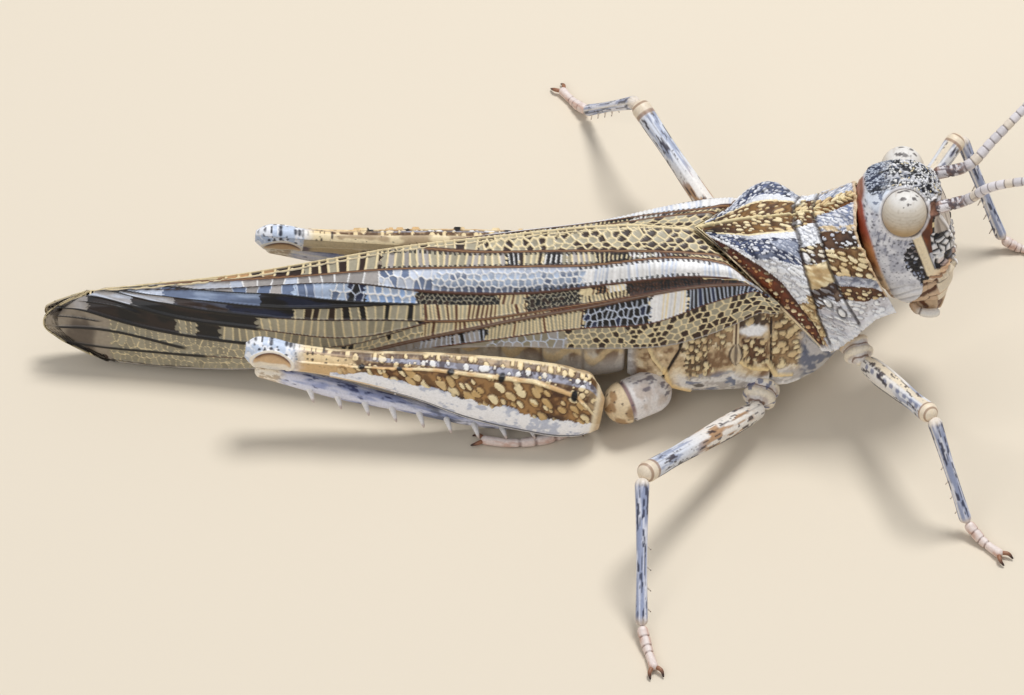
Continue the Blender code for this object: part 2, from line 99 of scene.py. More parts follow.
def noise(u, v, seed=0.0):
    """Shares at the four corners of a unit square, blended by 3t^2 - 2t^3 each way."""
    i, j = np.floor(u), np.floor(v)
    f, g = u - i, v - j
    f, g = f * f * (3 - 2 * f), g * g * (3 - 2 * g)
    low = share(i, j, seed) * (1 - f) + share(i + 1, j, seed) * f
    high = share(i, j + 1, seed) * (1 - f) + share(i + 1, j + 1, seed) * f
    return low * (1 - g) + high * g


def rough(u, v, seed=0.0):
    """Three octaves of noise, from 0 to 1."""
    return (4 * noise(u, v, seed) + 2 * noise(2 * u, 2 * v, seed + 3) + noise(4 * u, 4 * v, seed + 7)) / 7


def step(edge, other, x):
    """0 at edge, 1 at the other value, eased between."""
    t = np.clip((x - edge) / (other - edge), 0.0, 1.0)
    return t * t * (3 - 2 * t)


def fade(edge, other, x):
    """1 at edge, 0 at the other value, eased between."""
    return 1 - step(edge, other, x)


def smooth(knots, values, at):
    """Cubic through the values, each slope taken from its neighbours."""
    knots, values, at = np.array(knots, float), np.array(values, float), np.asarray(at, float)
    slope = np.gradient(values, knots)
    i = np.clip(np.searchsorted(knots, at) - 1, 0, len(knots) - 2)
    h = knots[i + 1] - knots[i]
    t = np.clip((at - knots[i]) / h, 0.0, 1.0)
    return (
        values[i] * (2 * t**3 - 3 * t**2 + 1)
        + slope[i] * h * (t**3 - 2 * t**2 + t)
        + values[i + 1] * (3 * t**2 - 2 * t**3)
        + slope[i + 1] * h * (t**3 - t**2)
    )


# %% [markdown]
# ## Cells
# A wing net, a grainy shield and a scaled thigh have one thing in common: a plane divided
# into irregular cells. Points are jittered about a lattice whose odd rows are shifted half a
# step, and each place belongs to its nearest point. How far it is from the border with the
# next cell gives the veins, how far from the point gives the grains.

# %% Cells on a jittered lattice
def cells(u, v, pitch, rise, seed, jitter=0.5, rows=None, stagger=0.5):
    """Nearest lattice point of 9, in units of pitch by rise millimetres.

    Gives the distance to the border (d2^2 - d1^2) / 2|c2 - c1|, the distance to the point, and
    the point's two whole numbers.
    """
    row = np.floor(v)
    near = [np.full(u.shape, 1e9), np.full(u.shape, 1e9)]
    spot = [np.zeros(u.shape + (2,)), np.zeros(u.shape + (2,))]
    number = np.zeros(u.shape + (2,))
    for dj in (-1, 0, 1):
        j = row + dj
        shift = stagger * np.mod(j, 2)
        column = np.floor(u - shift)
        for di in (-1, 0, 1):
            i = column + di
            cu = i + shift + 0.5 + jitter * (share(i, j, seed) - 0.5)
            cv = j + 0.5 + jitter * (share(i, j, seed + 1) - 0.5) * (rows != 1)
            d = np.hypot((u - cu) * pitch, (v - cv) * rise)
            if rows is not None:
                d = np.where((j < 0) | (j >= rows), 1e9, d)
            first = d < near[0]
            second = ~first & (d < near[1])
            here = np.stack([cu * pitch, cv * rise], -1)
            near[1] = np.where(first, near[0], np.where(second, d, near[1]))
            spot[1] = np.where(first[..., None], spot[0], np.where(second[..., None], here, spot[1]))
            near[0] = np.where(first, d, near[0])
            spot[0] = np.where(first[..., None], here, spot[0])
            number = np.where(first[..., None], np.stack([i, j], -1), number)
    apart = np.linalg.norm(spot[1] - spot[0], axis=-1) + 1e-9
    border = (near[1] ** 2 - near[0] ** 2) / (2 * apart)
    return border, near[0], number[..., 0], number[..., 1]


# %% [markdown]
# ## Colours
# The animal wears sand: creams, tans and rust beside black, white and a cold blue grey. They
# are given as a painter would mix them, from 0 to 255, and turned into light.

# %% The palette
def paint(red, green, blue):
    """Screen colour to linear light, by a power of 2.2."""
    return (np.array((red, green, blue)) / 255.0) ** 2.2


INK = paint(16, 12, 13)
SOOT = paint(52, 36, 28)
UMBER = paint(96, 60, 42)
RUST = paint(142, 72, 38)
TAN = paint(186, 142, 98)
CREAM = paint(238, 218, 172)
MILK = paint(244, 242, 240)
FROST = paint(206, 214, 230)
SKY = paint(150, 178, 220)
NAVY = paint(34, 42, 70)
ASH = paint(166, 160, 156)
DUN = paint(150, 138, 122)


def lay(under, over, amount):
    """Covers a tint or colour with another, by an amount from 0 to 1; tuples are painted first."""
    under, over = (paint(*one) if isinstance(one, tuple) else one for one in (under, over))
    amount = np.clip(amount, 0, 1)[..., None]
    return under * (1 - amount) + over * amount


# %% [markdown]
# ## From grids to meshes
# Every piece is one grid of points, rows along it and columns round or across it. A tube
# closes on itself and has a fan at each end. A plate gets an inner face a little way in,
# coarser than the outer one, and a rim of fans that joins the two. The colour of each point
# is stored with it, and each grid also gets a flat map of itself. Relief is a
# height by which a grid is pushed out along its own normals.

# %% Mesh builders, relief, and the place of a piece in the model
def grid_quads(rows, columns, wrap):
    """Corner numbers of a grid's faces, and their places on a flat map of it."""
    i, j = np.meshgrid(np.arange(rows - 1), np.arange(columns if wrap else columns - 1), indexing="ij")
    i, j = i.ravel(), j.ravel()
    k = (j + 1) % columns
    quads = np.stack([i * columns + j, (i + 1) * columns + j, (i + 1) * columns + k, i * columns + k], -1)
    across, along = 1.0 / (columns if wrap else columns - 1), 1.0 / (rows - 1)
    maps = np.stack(
        [np.stack([j, j, j + 1, j + 1], -1) * across, np.stack([i, i + 1, i + 1, i], -1) * along], -1
    )
    return quads, maps


def build(name, points, tints, quads, quad_map, tris, tri_map, gloss):
    """Mesh object at the origin, with its tints and its flat map, faces turned outwards."""
    mesh = bpy.data.meshes.new(name)
    mesh.vertices.add(len(points))
    mesh.vertices.foreach_set("co", put(points).ravel())
    corners = np.concatenate([quads.ravel(), tris.ravel()]).astype(np.int32)
    starts = np.concatenate([np.arange(len(quads)) * 4, len(quads) * 4 + np.arange(len(tris)) * 3])
    mesh.loops.add(len(corners))
    mesh.loops.foreach_set("vertex_index", corners)
    mesh.polygons.add(len(starts))
    mesh.polygons.foreach_set("loop_start", starts.astype(np.int32))
    mesh.update(calc_edges=True)
    flat = mesh.uv_layers.new(name="OFBake")
    flat.data.foreach_set("uv", np.concatenate([quad_map.ravel(), tri_map.ravel()]))
    colour = mesh.color_attributes.new(name="tint", type="FLOAT_COLOR", domain="POINT")
    colour.data.foreach_set("color", np.concatenate([tints, np.ones((len(tints), 1))], 1).ravel())
    work = bmesh.new()
    work.from_mesh(mesh)
    bmesh.ops.recalc_face_normals(work, faces=work.faces)
    work.to_mesh(mesh)
    work.free()
    mesh.polygons.foreach_set("use_smooth", np.ones(len(starts), bool))
    mesh.materials.append(gloss)
    made = bpy.data.objects.new(name, mesh)
    bpy.context.scene.collection.objects.link(made)
    print(f"{name}: {len(quads) * 2 + len(tris)} triangles")
    return made


def bundle(name, parts, gloss):
    """Closed rods in one mesh: the first has most of the flat map, the others share a strip of it."""
    made, first = [], 0
    wide = 0.98 / max(len(parts) - 1, 1)
    for number, (grid, tints) in enumerate(parts):
        rows, columns = grid.shape[:2]
        quads, maps = grid_quads(rows, columns, True)
        ends = [[v.reshape(-1, 3), v[0].mean(0)[None], v[-1].mean(0)[None]] for v in (grid, tints)]
        points, tint = np.concatenate(ends[0]), np.concatenate(ends[1])
        j = np.arange(columns)
        k = (j + 1) % columns
        pole, last = np.full(columns, rows * columns), (rows - 1) * columns
        tris = np.concatenate([np.stack([pole, j, k], -1), np.stack([last + k, last + j, pole + 1], -1)])
        tri_map = np.zeros((2 * columns, 3, 2))
        tri_map[:, :, 0] = np.concatenate([j, j])[:, None] / columns
        tri_map[columns:, :, 1] = 1.0
        size, corner = (0.98, 0.98 if len(parts) == 1 else 0.86), (0.01, 0.01)
        if number > 0:
            size, corner = (wide * 0.9, 0.09), (0.01 + wide * (number - 1), 0.90)
        made.append(
            (points, tint, quads + first, maps * size + corner, tris + first, tri_map * size + corner)
        )
        first += len(points)
    return build(name, *(np.concatenate(lists) for lists in zip(*made)), gloss)


def tube(name, grid, tints, gloss):
    """Closed skin over a grid whose columns go round; both ends are closed by a fan."""
    return bundle(name, [(grid, tints)], gloss)


def raised(grid, height):
    """The grid pushed out by a height along its own normals."""
    normal = np.cross(np.gradient(grid, axis=0), np.gradient(grid, axis=1))
    normal /= np.linalg.norm(normal, axis=-1, keepdims=True) + 1e-12
    normal *= np.sign(np.sum(normal * (grid - grid.reshape(-1, 3).mean(0))))
    return grid + normal * height[..., None]


COARSER = 7


def plate(name, grid, tints, gloss, thickness, lining):
    """Closed sheet: the grid outside, a coarser copy set in by the thickness, fans between."""
    rows, columns = grid.shape[:2]
    inner = raised(grid, np.full((rows, columns), -thickness))[::COARSER, ::COARSER]
    n, m = inner.shape[:2]
    quads, maps = grid_quads(rows, columns, False)
    more, more_maps = grid_quads(n, m, False)
    first = rows * columns
    points = np.concatenate([grid.reshape(-1, 3), inner.reshape(-1, 3)])
    tint = np.concatenate([tints.reshape(-1, 3), np.broadcast_to(lining, (n * m, 3))])
    rim = []
    sides = (
        (np.arange(columns), first + np.arange(m)),
        ((rows - 1) * columns + np.arange(columns), first + (n - 1) * m + np.arange(m)),
        (np.arange(rows) * columns, first + np.arange(n) * m),
        (np.arange(rows) * columns + columns - 1, first + np.arange(n) * m + m - 1),
    )
    for outer, inside in sides:
        t = np.arange(len(outer) - 1)
        rim.append(np.stack([outer[t], outer[t + 1], inside[t // COARSER]], -1))
        k = np.arange(len(inside) - 1)
        rim.append(np.stack([inside[k], outer[(k + 1) * COARSER], inside[k + 1]], -1))
    tris = np.concatenate(rim)
    tri_map = np.full((len(tris), 3, 2), 0.995)
    quads = np.concatenate([quads, more])
    maps = np.concatenate([maps * (0.98, 0.88) + (0.01, 0.01), more_maps * (0.9, 0.06) + (0.02, 0.92)])
    return build(name, points, tint, quads, maps, tris, tri_map, gloss)


def keep(made, node):
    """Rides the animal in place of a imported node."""
    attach(made, "root")
    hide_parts(node)


SIDES = (("right", -1), ("left", 1))


# %% [markdown]
# ## Finish
# Insect shell is dry and faintly waxy. One recipe serves all plates: the stored tint, broken
# up by a fine noise in the object's own coordinates, and a bump of the same grain. How rough
# it is and how deep the bump goes differ from plate to plate.

# %% Materials from the stored tint
def finish(name, roughness, grain, depth, mottle):
    """Tint times (1 - mottle .. 1 + mottle) by noise, with a bump of the same noise."""
    made = bpy.data.materials.new(name)
    made.use_nodes = True
    nodes = made.node_tree.nodes

    def add(kind, **values):
        """A node of this kind with these input values."""
        node = nodes.new("ShaderNode" + kind)
        for label, value in values.items():
            node.inputs[label.replace("_", " ")].default_value = value
        return node

    shader = nodes["Principled BSDF"]
    shader.inputs["Roughness"].default_value = roughness
    tint, place, mix = add("Attribute"), add("TexCoord"), add("VectorMath")
    tint.attribute_name = "tint"
    mix.operation = "SCALE"
    speckle = add("TexNoise", Scale=grain, Detail=3.0)
    shade = add("MapRange", From_Min=0.3, From_Max=0.7, To_Min=1.0 - mottle, To_Max=1.0 + mottle)
    bump = add("Bump", Strength=0.6, Distance=depth)
    for output, entry in (
        (place.outputs["Object"], speckle.inputs["Vector"]),
        (speckle.outputs["Fac"], shade.inputs["Value"]),
        (tint.outputs["Color"], mix.inputs[0]),
        (shade.outputs["Result"], mix.inputs["Scale"]),
        (mix.outputs["Vector"], shader.inputs["Base Color"]),
        (speckle.outputs["Fac"], bump.inputs["Height"]),
        (bump.outputs["Normal"], shader.inputs["Normal"]),
    ):
        made.node_tree.links.new(output, entry)
    return made


WING_FINISH = finish("dry_wing", roughness=0.42, grain=7000.0, depth=0.000006, mottle=0.08)


# %% [markdown]
# ## Forewings
# At rest the two leathery forewings fold like a roof: a narrow level top beside the seam, a
# crest, and a steep side. Long veins run from the root to the tip, fan out and curve up to
# the hind margin near the tip, and the strips between them are divided by cross veins into a
# ladder or a net. The wing could be a plain sheet with a bump. Here the veins are real
# ridges: each grid point knows its strip, its cell and its distance from the nearest vein.

# %% The wing's roof shape
WING_X = (-0.6, 1.3, 4.5, 8.5, 12.0, 16.0, 20.5, 25.0, 28.6, 30.2, 33.0)
SEAM_Z = (3.45, 4.05, 4.42, 5.08, 5.92, 6.90, 7.66, 8.34, 8.55, 8.55, 8.55)
CREST_Y = (0.30, 0.42, 0.55, 0.72, 0.86, 1.05, 1.35, 1.68, 2.25, 2.5, 2.8)
CREST_Z = (2.9, 3.4, 3.8, 4.45, 5.25, 6.2, 6.98, 7.55, 8.2, 8.32, 8.2)
EDGE_Y = (0.35, 0.5, 0.85, 1.35, 1.8, 2.35, 2.9, 3.15, 3.38, 3.4, 3.38)
EDGE_Z = (1.3, 0.6, 0.42, 0.72, 1.55, 2.85, 3.75, 3.95, 4.55, 5.25, 7.0)
CREST_AT = 0.32
TIP_ROUND = 2.3
TIP_HIGH = 0.45
WING_ROOT_AT = (0.0, 0.32, 0.7, 1.0)
WING_ROOT_X = (29.8, 31.8, 33.1, 33.1)
ROOT_DIVE = 0.55


def wing_surface(rows, columns):
    """Roof of rafters seam - crest - edge, corners eased over 9 columns, root dipped under the shield."""
    a = np.linspace(0, 1, columns)
    tip = WING_X[0] + TIP_ROUND * np.abs(2 * (a - TIP_HIGH)) ** 2.4
    root = smooth(WING_ROOT_AT, WING_ROOT_X, a)
    s = np.linspace(0, 1, rows)[:, None]
    x = tip * (1 - s) + root * s
    t = np.clip(a / CREST_AT, 0, 1)[None, :]
    v = np.clip((a - CREST_AT) / (1 - CREST_AT), 0, 1)[None, :]
    y = smooth(WING_X, CREST_Y, x) * t * (1 - v) + smooth(WING_X, EDGE_Y, x) * v + 0.18 * np.sin(pi * v)
    top = smooth(WING_X, SEAM_Z, x) * (1 - t) + smooth(WING_X, CREST_Z, x) * t
    z = np.where(v > 0, smooth(WING_X, CREST_Z, x) * (1 - v) + smooth(WING_X, EDGE_Z, x) * v, top)
    z -= ROOT_DIVE * step(root - 1.0, root, x)
    grid = np.stack([x, y, z], -1)
    padded = np.concatenate([grid[:, :1]] * 4 + [grid] + [grid[:, -1:]] * 4, 1)
    eased = sum(padded[:, k : k + columns] for k in range(9)) / 9
    eased[:, :4], eased[:, -4:] = grid[:, :4], grid[:, -4:]
    return eased, x, a * np.ones_like(x), tip


# %% [markdown]
# ## Veins
# Each long vein is a line of the wing's two coordinates: millimetres from the tip, and the
# share of the way from the seam to the outer edge. A few stations set its bend. A branch has
# stations of its own up to the fork, and beyond it runs with the vein it left.

# %% Long veins, branches and the twigs of the tip
VEINS = {
    "seam": ((-1, 0.0), (34, 0.0)),
    "top": ((-1, 0.0), (15, 0.0), (20, 0.12), (25, 0.18), (34, 0.24)),
    "crest": ((0, 0.0), (8, 0.05), (13, 0.15), (19, 0.27), (24, 0.30), (30, 0.265), (34, 0.42)),
    "milk": ((0, 0.0), (6, 0.09), (12, 0.24), (17.5, 0.46), (21, 0.51), (26, 0.44), (30, 0.40), (34, 0.47)),
    "blue": ((0, 0.0), (6, 0.08), (9, 0.25), (17, 0.56), (21, 0.60), (26, 0.50), (30, 0.42), (34, 0.48)),
    "fork": (
        (0, 0.0), (2.5, 0.04), (5, 0.28), (9, 0.47), (14, 0.63), (19, 0.73), (24, 0.61),
        (30, 0.48), (34, 0.48),
    ),
    "rib": ((12, 1.0), (14, 0.96), (18, 0.85), (24, 0.64), (30, 0.48), (34, 0.48)),
    "rust": ((16, 1.0), (20, 0.93), (24, 0.81), (27.5, 0.77), (30, 0.65), (34, 0.50)),
    "edge": ((-1, 1.0), (34, 1.0)),
    "fourth": ((-0.5, 0.54), (2, 0.56), (6, 0.76)),
    "fifth": ((0, 0.78), (3, 0.80), (9, 0.88), (13.5, 0.98)),
    "sixth": ((1.5, 0.93), (4, 0.98), (6.5, 0.97)),
    "twig": ((1, 0.14), (4, 0.40)),
    "sprig": ((0, 0.36), (2, 0.47)),
}
BRANCHES = {
    "night": ("blue", 16.5, ((0, 0.0), (3.5, 0.07), (7, 0.30), (10, 0.42))),
    "second": ("fork", 17.5, ((0, 0.0), (1, 0.03), (4, 0.34), (9, 0.58), (15, 0.79))),
    "third": ("fork", 17.5, ((-1, 0.1), (2.5, 0.43), (8.5, 0.71), (14, 0.85))),
}

# %% [markdown]
# ## What fills the strips
# Each strip is cut into stretches. A stretch has its rows of cells, the pitch of its cross
# veins in millimetres, the colour and half width of those veins, the common tone of its
# cells, a second tone and how many of the cells take it. Where the cross veins have no width
# the two tones run into each other instead. A fade lays a colour over part of a strip.

# %% Colours that only the wing has
BARK = paint(74, 42, 28)
HAZE = paint(168, 160, 138)
GREY = paint(150, 142, 122)
ICE = paint(176, 192, 216)
SLATE = paint(104, 118, 146)

# %% Stretches: from, to, rows, pitch, vein colour, half width, tone, other tone, share
STRIPS = {
    ("seam", "top"): (
        (14, 19.5, 1, 0.42, CREAM, 0.050, HAZE, SOOT, 0.45),
        (19.5, 23, 3, 0.36, CREAM, 0.046, HAZE, SOOT, 0.40),
        (23, 27, 5, 0.46, CREAM, 0.044, SOOT, HAZE, 0.45),
        (27, 34, 5, 0.48, CREAM, 0.040, SOOT, HAZE, 0.35),
    ),
    ("top", "crest"): (
        (15, 20.8, 1, 0.32, CREAM, 0.055, HAZE, ASH, 0.5),
        (20.8, 21.4, 1, 0.22, MILK, 0.022, INK, SOOT, 0.3),
        (21.4, 22.5, 1, 0.27, CREAM, 0.055, HAZE, SOOT, 0.25),
        (22.5, 23.5, 1, 0.24, MILK, 0.028, INK, HAZE, 0.35),
        (23.5, 24.8, 1, 0.27, CREAM, 0.050, HAZE, ASH, 0.4),
        (24.8, 26.4, 1, 0.20, CREAM, 0.026, INK, SOOT, 0.4),
        (26.4, 28.4, 1, 0.17, MILK, 0.050, HAZE, UMBER, 0.45),
        (28.4, 34, 2, 0.26, CREAM, 0.034, SOOT, INK, 0.5),
    ),
    ("seam", "crest"): (
        (-1, 7.5, 1, 0.8, CREAM, 0.20, CREAM, CREAM, 0.0),
        (7.5, 11.5, 1, 0.60, CREAM, 0.060, SOOT, TAN, 0.30),
        (11.5, 15, 1, 0.45, CREAM, 0.060, HAZE, SOOT, 0.45),
    ),
    ("crest", "milk"): (
        (-1, 8, 1, 0.8, ASH, 0.0, ASH, FROST, 0.4),
        (8, 15, 1, 0.62, MILK, 0.038, ASH, FROST, 0.40),
        (15, 17.5, 2, 0.34, MILK, 0.036, FROST, SLATE, 0.35),
        (17.5, 24.3, 4, 0.30, MILK, 0.040, ICE, SLATE, 0.30),
        (24.3, 34, 1, 0.19, MILK, 0.055, FROST, MILK, 0.5),
    ),
    ("milk", "blue"): (
        (-1, 8, 1, 0.8, ASH, 0.0, ASH, FROST, 0.5),
        (8, 11, 1, 0.55, FROST, 0.022, ASH, SLATE, 0.5),
        (11, 12.7, 1, 0.40, FROST, 0.030, SLATE, ICE, 0.4),
        (12.7, 13.6, 2, 0.36, MILK, 0.032, ICE, SLATE, 0.5),
        (13.6, 14.3, 2, 0.36, FROST, 0.026, NAVY, INK, 0.5),
        (14.3, 16.7, 2, 0.36, MILK, 0.048, ICE, SKY, 0.4),
        (16.7, 20.5, 3, 0.26, HAZE, 0.018, INK, SOOT, 0.3),
        (20.5, 21.7, 1, 0.20, CREAM, 0.050, UMBER, HAZE, 0.4),
        (21.7, 24.2, 3, 0.26, HAZE, 0.022, INK, SOOT, 0.35),
        (24.2, 24.8, 1, 0.17, CREAM, 0.050, CREAM, UMBER, 0.3),
        (24.8, 25.3, 1, 0.17, TAN, 0.018, INK, INK, 0.0),
        (25.3, 26.3, 1, 0.17, MILK, 0.050, CREAM, UMBER, 0.2),
        (26.3, 29.7, 1, 0.15, UMBER, 0.014, INK, SOOT, 0.5),
        (29.7, 34, 1, 0.30, CREAM, 0.050, CREAM, MILK, 0.5),
    ),
    ("blue", "night"): (
        (-1, 5, 1, 0.6, ASH, 0.0, FROST, ASH, 0.5),
        (5, 9.5, 1, 0.7, SLATE, 0.0, SLATE, ICE, 0.3),
        (9.5, 17, 1, 0.6, NAVY, 0.0, INK, NAVY, 0.35),
    ),
    ("night", "fork"): (
        (-1, 5.5, 1, 0.5, ASH, 0.0, ASH, FROST, 0.5),
        (5.5, 8, 1, 0.5, SOOT, 0.0, SOOT, SLATE, 0.35),
        (8, 11, 1, 0.5, SOOT, 0.0, INK, NAVY, 0.5),
        (11, 13.4, 1, 0.36, CREAM, 0.036, HAZE, SOOT, 0.45),
        (13.4, 16.9, 1, 0.36, CREAM, 0.046, HAZE, INK, 0.22),
        (16.9, 20.5, 1, 0.20, CREAM, 0.050, UMBER, HAZE, 0.5),
        (20.5, 21.7, 1, 0.20, CREAM, 0.050, HAZE, UMBER, 0.4),
        (21.7, 24.2, 2, 0.24, HAZE, 0.020, INK, SOOT, 0.45),
        (24.2, 26.3, 1, 0.17, CREAM, 0.045, SOOT, HAZE, 0.5),
        (26.3, 34, 1, 0.15, UMBER, 0.014, SOOT, INK, 0.5),
    ),
    ("fork", "second"): (
        (-1, 3.5, 1, 0.6, ASH, 0.0, ASH, FROST, 0.5),
        (3.5, 9.3, 1, 0.3, SOOT, 0.0, INK, SOOT, 0.4),
        (9.3, 17.5, 1, 0.38, CREAM, 0.046, HAZE, INK, 0.04),
    ),
    ("second", "third"): (
        (-1, 1.5, 1, 0.5, ASH, 0.0, ASH, DUN, 0.5),
        (1.5, 5.6, 1, 0.3, SOOT, 0.0, INK, SOOT, 0.35),
        (5.6, 6.6, 1, 0.25, CREAM, 0.016, GREY, GREY, 0.0),
        (6.6, 7.6, 1, 0.3, SOOT, 0.0, INK, SOOT, 0.35),
        (7.6, 17.5, 1, 0.34, CREAM, 0.036, GREY, HAZE, 0.4),
    ),
    ("third", "rib"): (
        (-1, 2.5, 1, 0.5, ASH, 0.0, DUN, SOOT, 0.45),
        (2.5, 8, 4, 0.28, CREAM, 0.013, GREY, GREY, 0.0),
        (8, 13, 4, 0.34, CREAM, 0.020, GREY, HAZE, 0.4),
        (13, 17, 2, 0.30, CREAM, 0.036, HAZE, INK, 0.10),
        (17, 22.8, 1, 0.20, CREAM, 0.050, UMBER, HAZE, 0.5),
        (22.8, 34, 1, 0.17, TAN, 0.020, RUST, BARK, 0.5),
    ),
    ("rib", "rust"): (
        (12, 16.8, 1, 0.28, DUN, 0.020, ASH, DUN, 0.3),
        (16.8, 18.3, 1, 0.22, FROST, 0.034, ASH, SOOT, 0.30),
        (18.3, 19.9, 1, 0.22, FROST, 0.030, INK, ASH, 0.40),
        (19.9, 24.3, 1, 0.17, CREAM, 0.045, HAZE, UMBER, 0.10),
        (24.3, 27.3, 3, 0.25, FROST, 0.026, INK, NAVY, 0.15),
        (27.3, 29.0, 1, 0.16, MILK, 0.055, CREAM, MILK, 0.4),
        (29.0, 34, 1, 0.19, FROST, 0.026, INK, NAVY, 0.2),
    ),
    ("rust", "edge"): (
        (15, 20, 1, 0.7, ASH, 0.0, ASH, GREY, 0.5),
        (20, 23.5, 2, 0.38, FROST, 0.030, ASH, GREY, 0.5),
        (23.5, 26.2, 4, 0.34, CREAM, 0.036, GREY, SOOT, 0.20),
        (26.2, 34, 5, 0.34, CREAM, 0.042, SOOT, HAZE, 0.40),
    ),
}
FADES = (
    ("crest", "milk", 0.45, 0.15, 16, 24.3, FROST, 0.8),
    ("crest", "milk", 0.45, 0.85, 17, 24.3, NAVY, 0.8),
    ("rust", "edge", 0.4, 1.0, 27, 34, BARK, 0.3),
)

# %% Dark teeth beside a vein: which, which way, from, to; ridges: which, from, to, half, rim, core and painted highlight
TEETH = (
    ("top", 1, 15, 29), ("crest", -1, 15, 29), ("crest", 1, 24, 30),
    ("milk", -1, 21, 29.5), ("rib", 1, 17, 27.5),
)
RIDGES = (
    ("top", 17, 33, 0.095, BARK, TAN), ("crest", 5, 33, 0.095, BARK, TAN),
    ("milk", 16.5, 31, 0.080, BARK, UMBER), ("milk", 3, 16.5, 0.045, SOOT, SOOT),
    ("blue", 3, 16.7, 0.065, INK, INK), ("night", 2.5, 16.7, 0.065, INK, INK),
    ("fork", 2.0, 10, 0.075, INK, INK), ("fork", 10, 17, 0.040, SOOT, BARK),
    ("fork", 17, 33, 0.090, BARK, TAN), ("second", 1.8, 9.5, 0.10, INK, INK),
    ("second", 9.5, 17.5, 0.034, BARK, UMBER), ("third", 0, 9, 0.11, INK, INK),
    ("third", 9, 17.5, 0.028, BARK, UMBER), ("fourth", 0, 6, 0.12, INK, INK),
    ("fifth", 0, 7, 0.11, INK, INK), ("fifth", 7, 13.6, 0.028, UMBER, UMBER),
    ("sixth", 1.4, 6.2, 0.034, SOOT, DUN), ("twig", 1.2, 3.8, 0.065, INK, INK),
    ("sprig", 0, 2, 0.065, INK, INK), ("rib", 12.4, 31.8, 0.120, UMBER, DUN),
    ("rust", 17.5, 33, 0.045, BARK, RUST),
)


# %% [markdown]
# ## Painting and raising the net
# For each point the strip is found, then its cell. The cells are thin panes, so they lie
# lowest. Cross veins and long veins rise above them.

# %% Colour and relief of the wing
def vein_line(name, x):
    """Share of the width where a vein runs; beyond its fork a branch is its parent."""
    if name not in BRANCHES:
        knots = np.array(VEINS[name])
        return smooth(knots[:, 0], knots[:, 1], x)
    parent, fork, course = BRANCHES[name]
    knots = np.array(course + ((fork, float(vein_line(parent, fork))),))
    return np.where(x < fork, smooth(knots[:, 0], knots[:, 1], x), vein_line(parent, x))


def wing_markings(x, a, width, seed):
    """Tint and height of each point at x millimetres from the tip and share a of the width."""
    tint = np.broadcast_to(DUN, x.shape + (3,)).copy()
    height = np.zeros(x.shape)
    for number, ((upper, lower), stretches) in enumerate(STRIPS.items()):
        top, low = vein_line(upper, x), vein_line(lower, x)
        inside = (a >= top) & (a <= low)
        ragged = x + 0.30 * (noise(x * 3, a * 60, number) - 0.5)
        for start, stop, rows, pitch, vein, half, tone, other, often in stretches:
            here = inside & (ragged >= start) & (ragged < stop)
            if not here.any():
                continue
            px, pa = x[here], a[here]
            tall = (low - top)[here] * width[here]
            t = np.clip((pa - top[here]) / np.maximum((low - top)[here], 1e-4), 0, 0.9999)
            slant = 0.12 * np.sin(px * 1.7 + number) * (t - 0.5)
            if half == 0.0:
                wash = rough(px * 0.9, t * 1.5 + 5 * number, seed)
                tint[here] = lay(lay(tone, other, step(0.6, 0.35, wash)), tone, 1 - often * 1.6)
                continue
            rise = tall / rows if rows == 1 else np.clip(tall / rows, 0.65 * pitch, 1.25 * pitch)
            border, _, i, j = cells(
                (px + slant) / pitch, t * rows, pitch, rise, seed + number, 0.5, rows,
                0.5 if rows > 1 else 0.0
            )
            pick = share(i, j, seed + number + 0.5)
            fill = np.where((pick < often)[:, None], other, tone)
            fill = fill * (0.8 + 0.4 * share(i, j, seed + number + 0.7))[:, None]
            line = fade(half * 0.55, half * 1.25, border)
            tint[here] = lay(fill, vein, line)
            height[here] = 0.035 * line
    for upper, lower, none, full, start, stop, colour, amount in FADES:
        t = (a - vein_line(upper, x)) / np.maximum(vein_line(lower, x) - vein_line(upper, x), 1e-4)
        ends = step(start, start + 1, x) * fade(stop - 0.5, stop, x)
        pane = 1 - np.clip(height / 0.035, 0, 1) * 0.7
        tint = lay(tint, colour, amount * step(none, full, t) * (t >= 0) * (t <= 1) * ends * pane)
    for name, way, start, stop in TEETH:
        gap = (a - vein_line(name, x)) * width * way
        comb = (np.sin(x * 2 * pi / 0.23 + 2 * noise(x * 2, a * 9, 3.0)) > -0.1) & (gap > 0.05) & (gap < 0.19)
        tint = lay(tint, INK, (comb & (x > start) & (x < stop)) * 0.9)
    for name, start, stop, half, rim, core_and_highlight in RIDGES:
        gap = np.abs(a - vein_line(name, x)) * width
        ends = step(start - 0.25, start + 0.25, x) * fade(stop - 0.25, stop + 0.25, x)
        line = fade(half * 0.6, half * 1.1, gap) * ends
        tint = lay(tint, rim, line)
        # the lighter middle of a ridge is partly the vein's own pale core and partly a painted highlight on
        # its raised top
        tint = lay(tint, core_and_highlight, fade(half * 0.1, half * 0.4, gap) * ends * 0.6)
        height = np.maximum(height, 0.06 * np.sqrt(np.clip(1 - (gap / (half * 1.3)) ** 2, 0, 1)) * ends)
    return tint, height


WING_ROWS = 708
WING_COLUMNS = 127
WING_SHEET = 0.10
FAR_SHIFT = 0.05


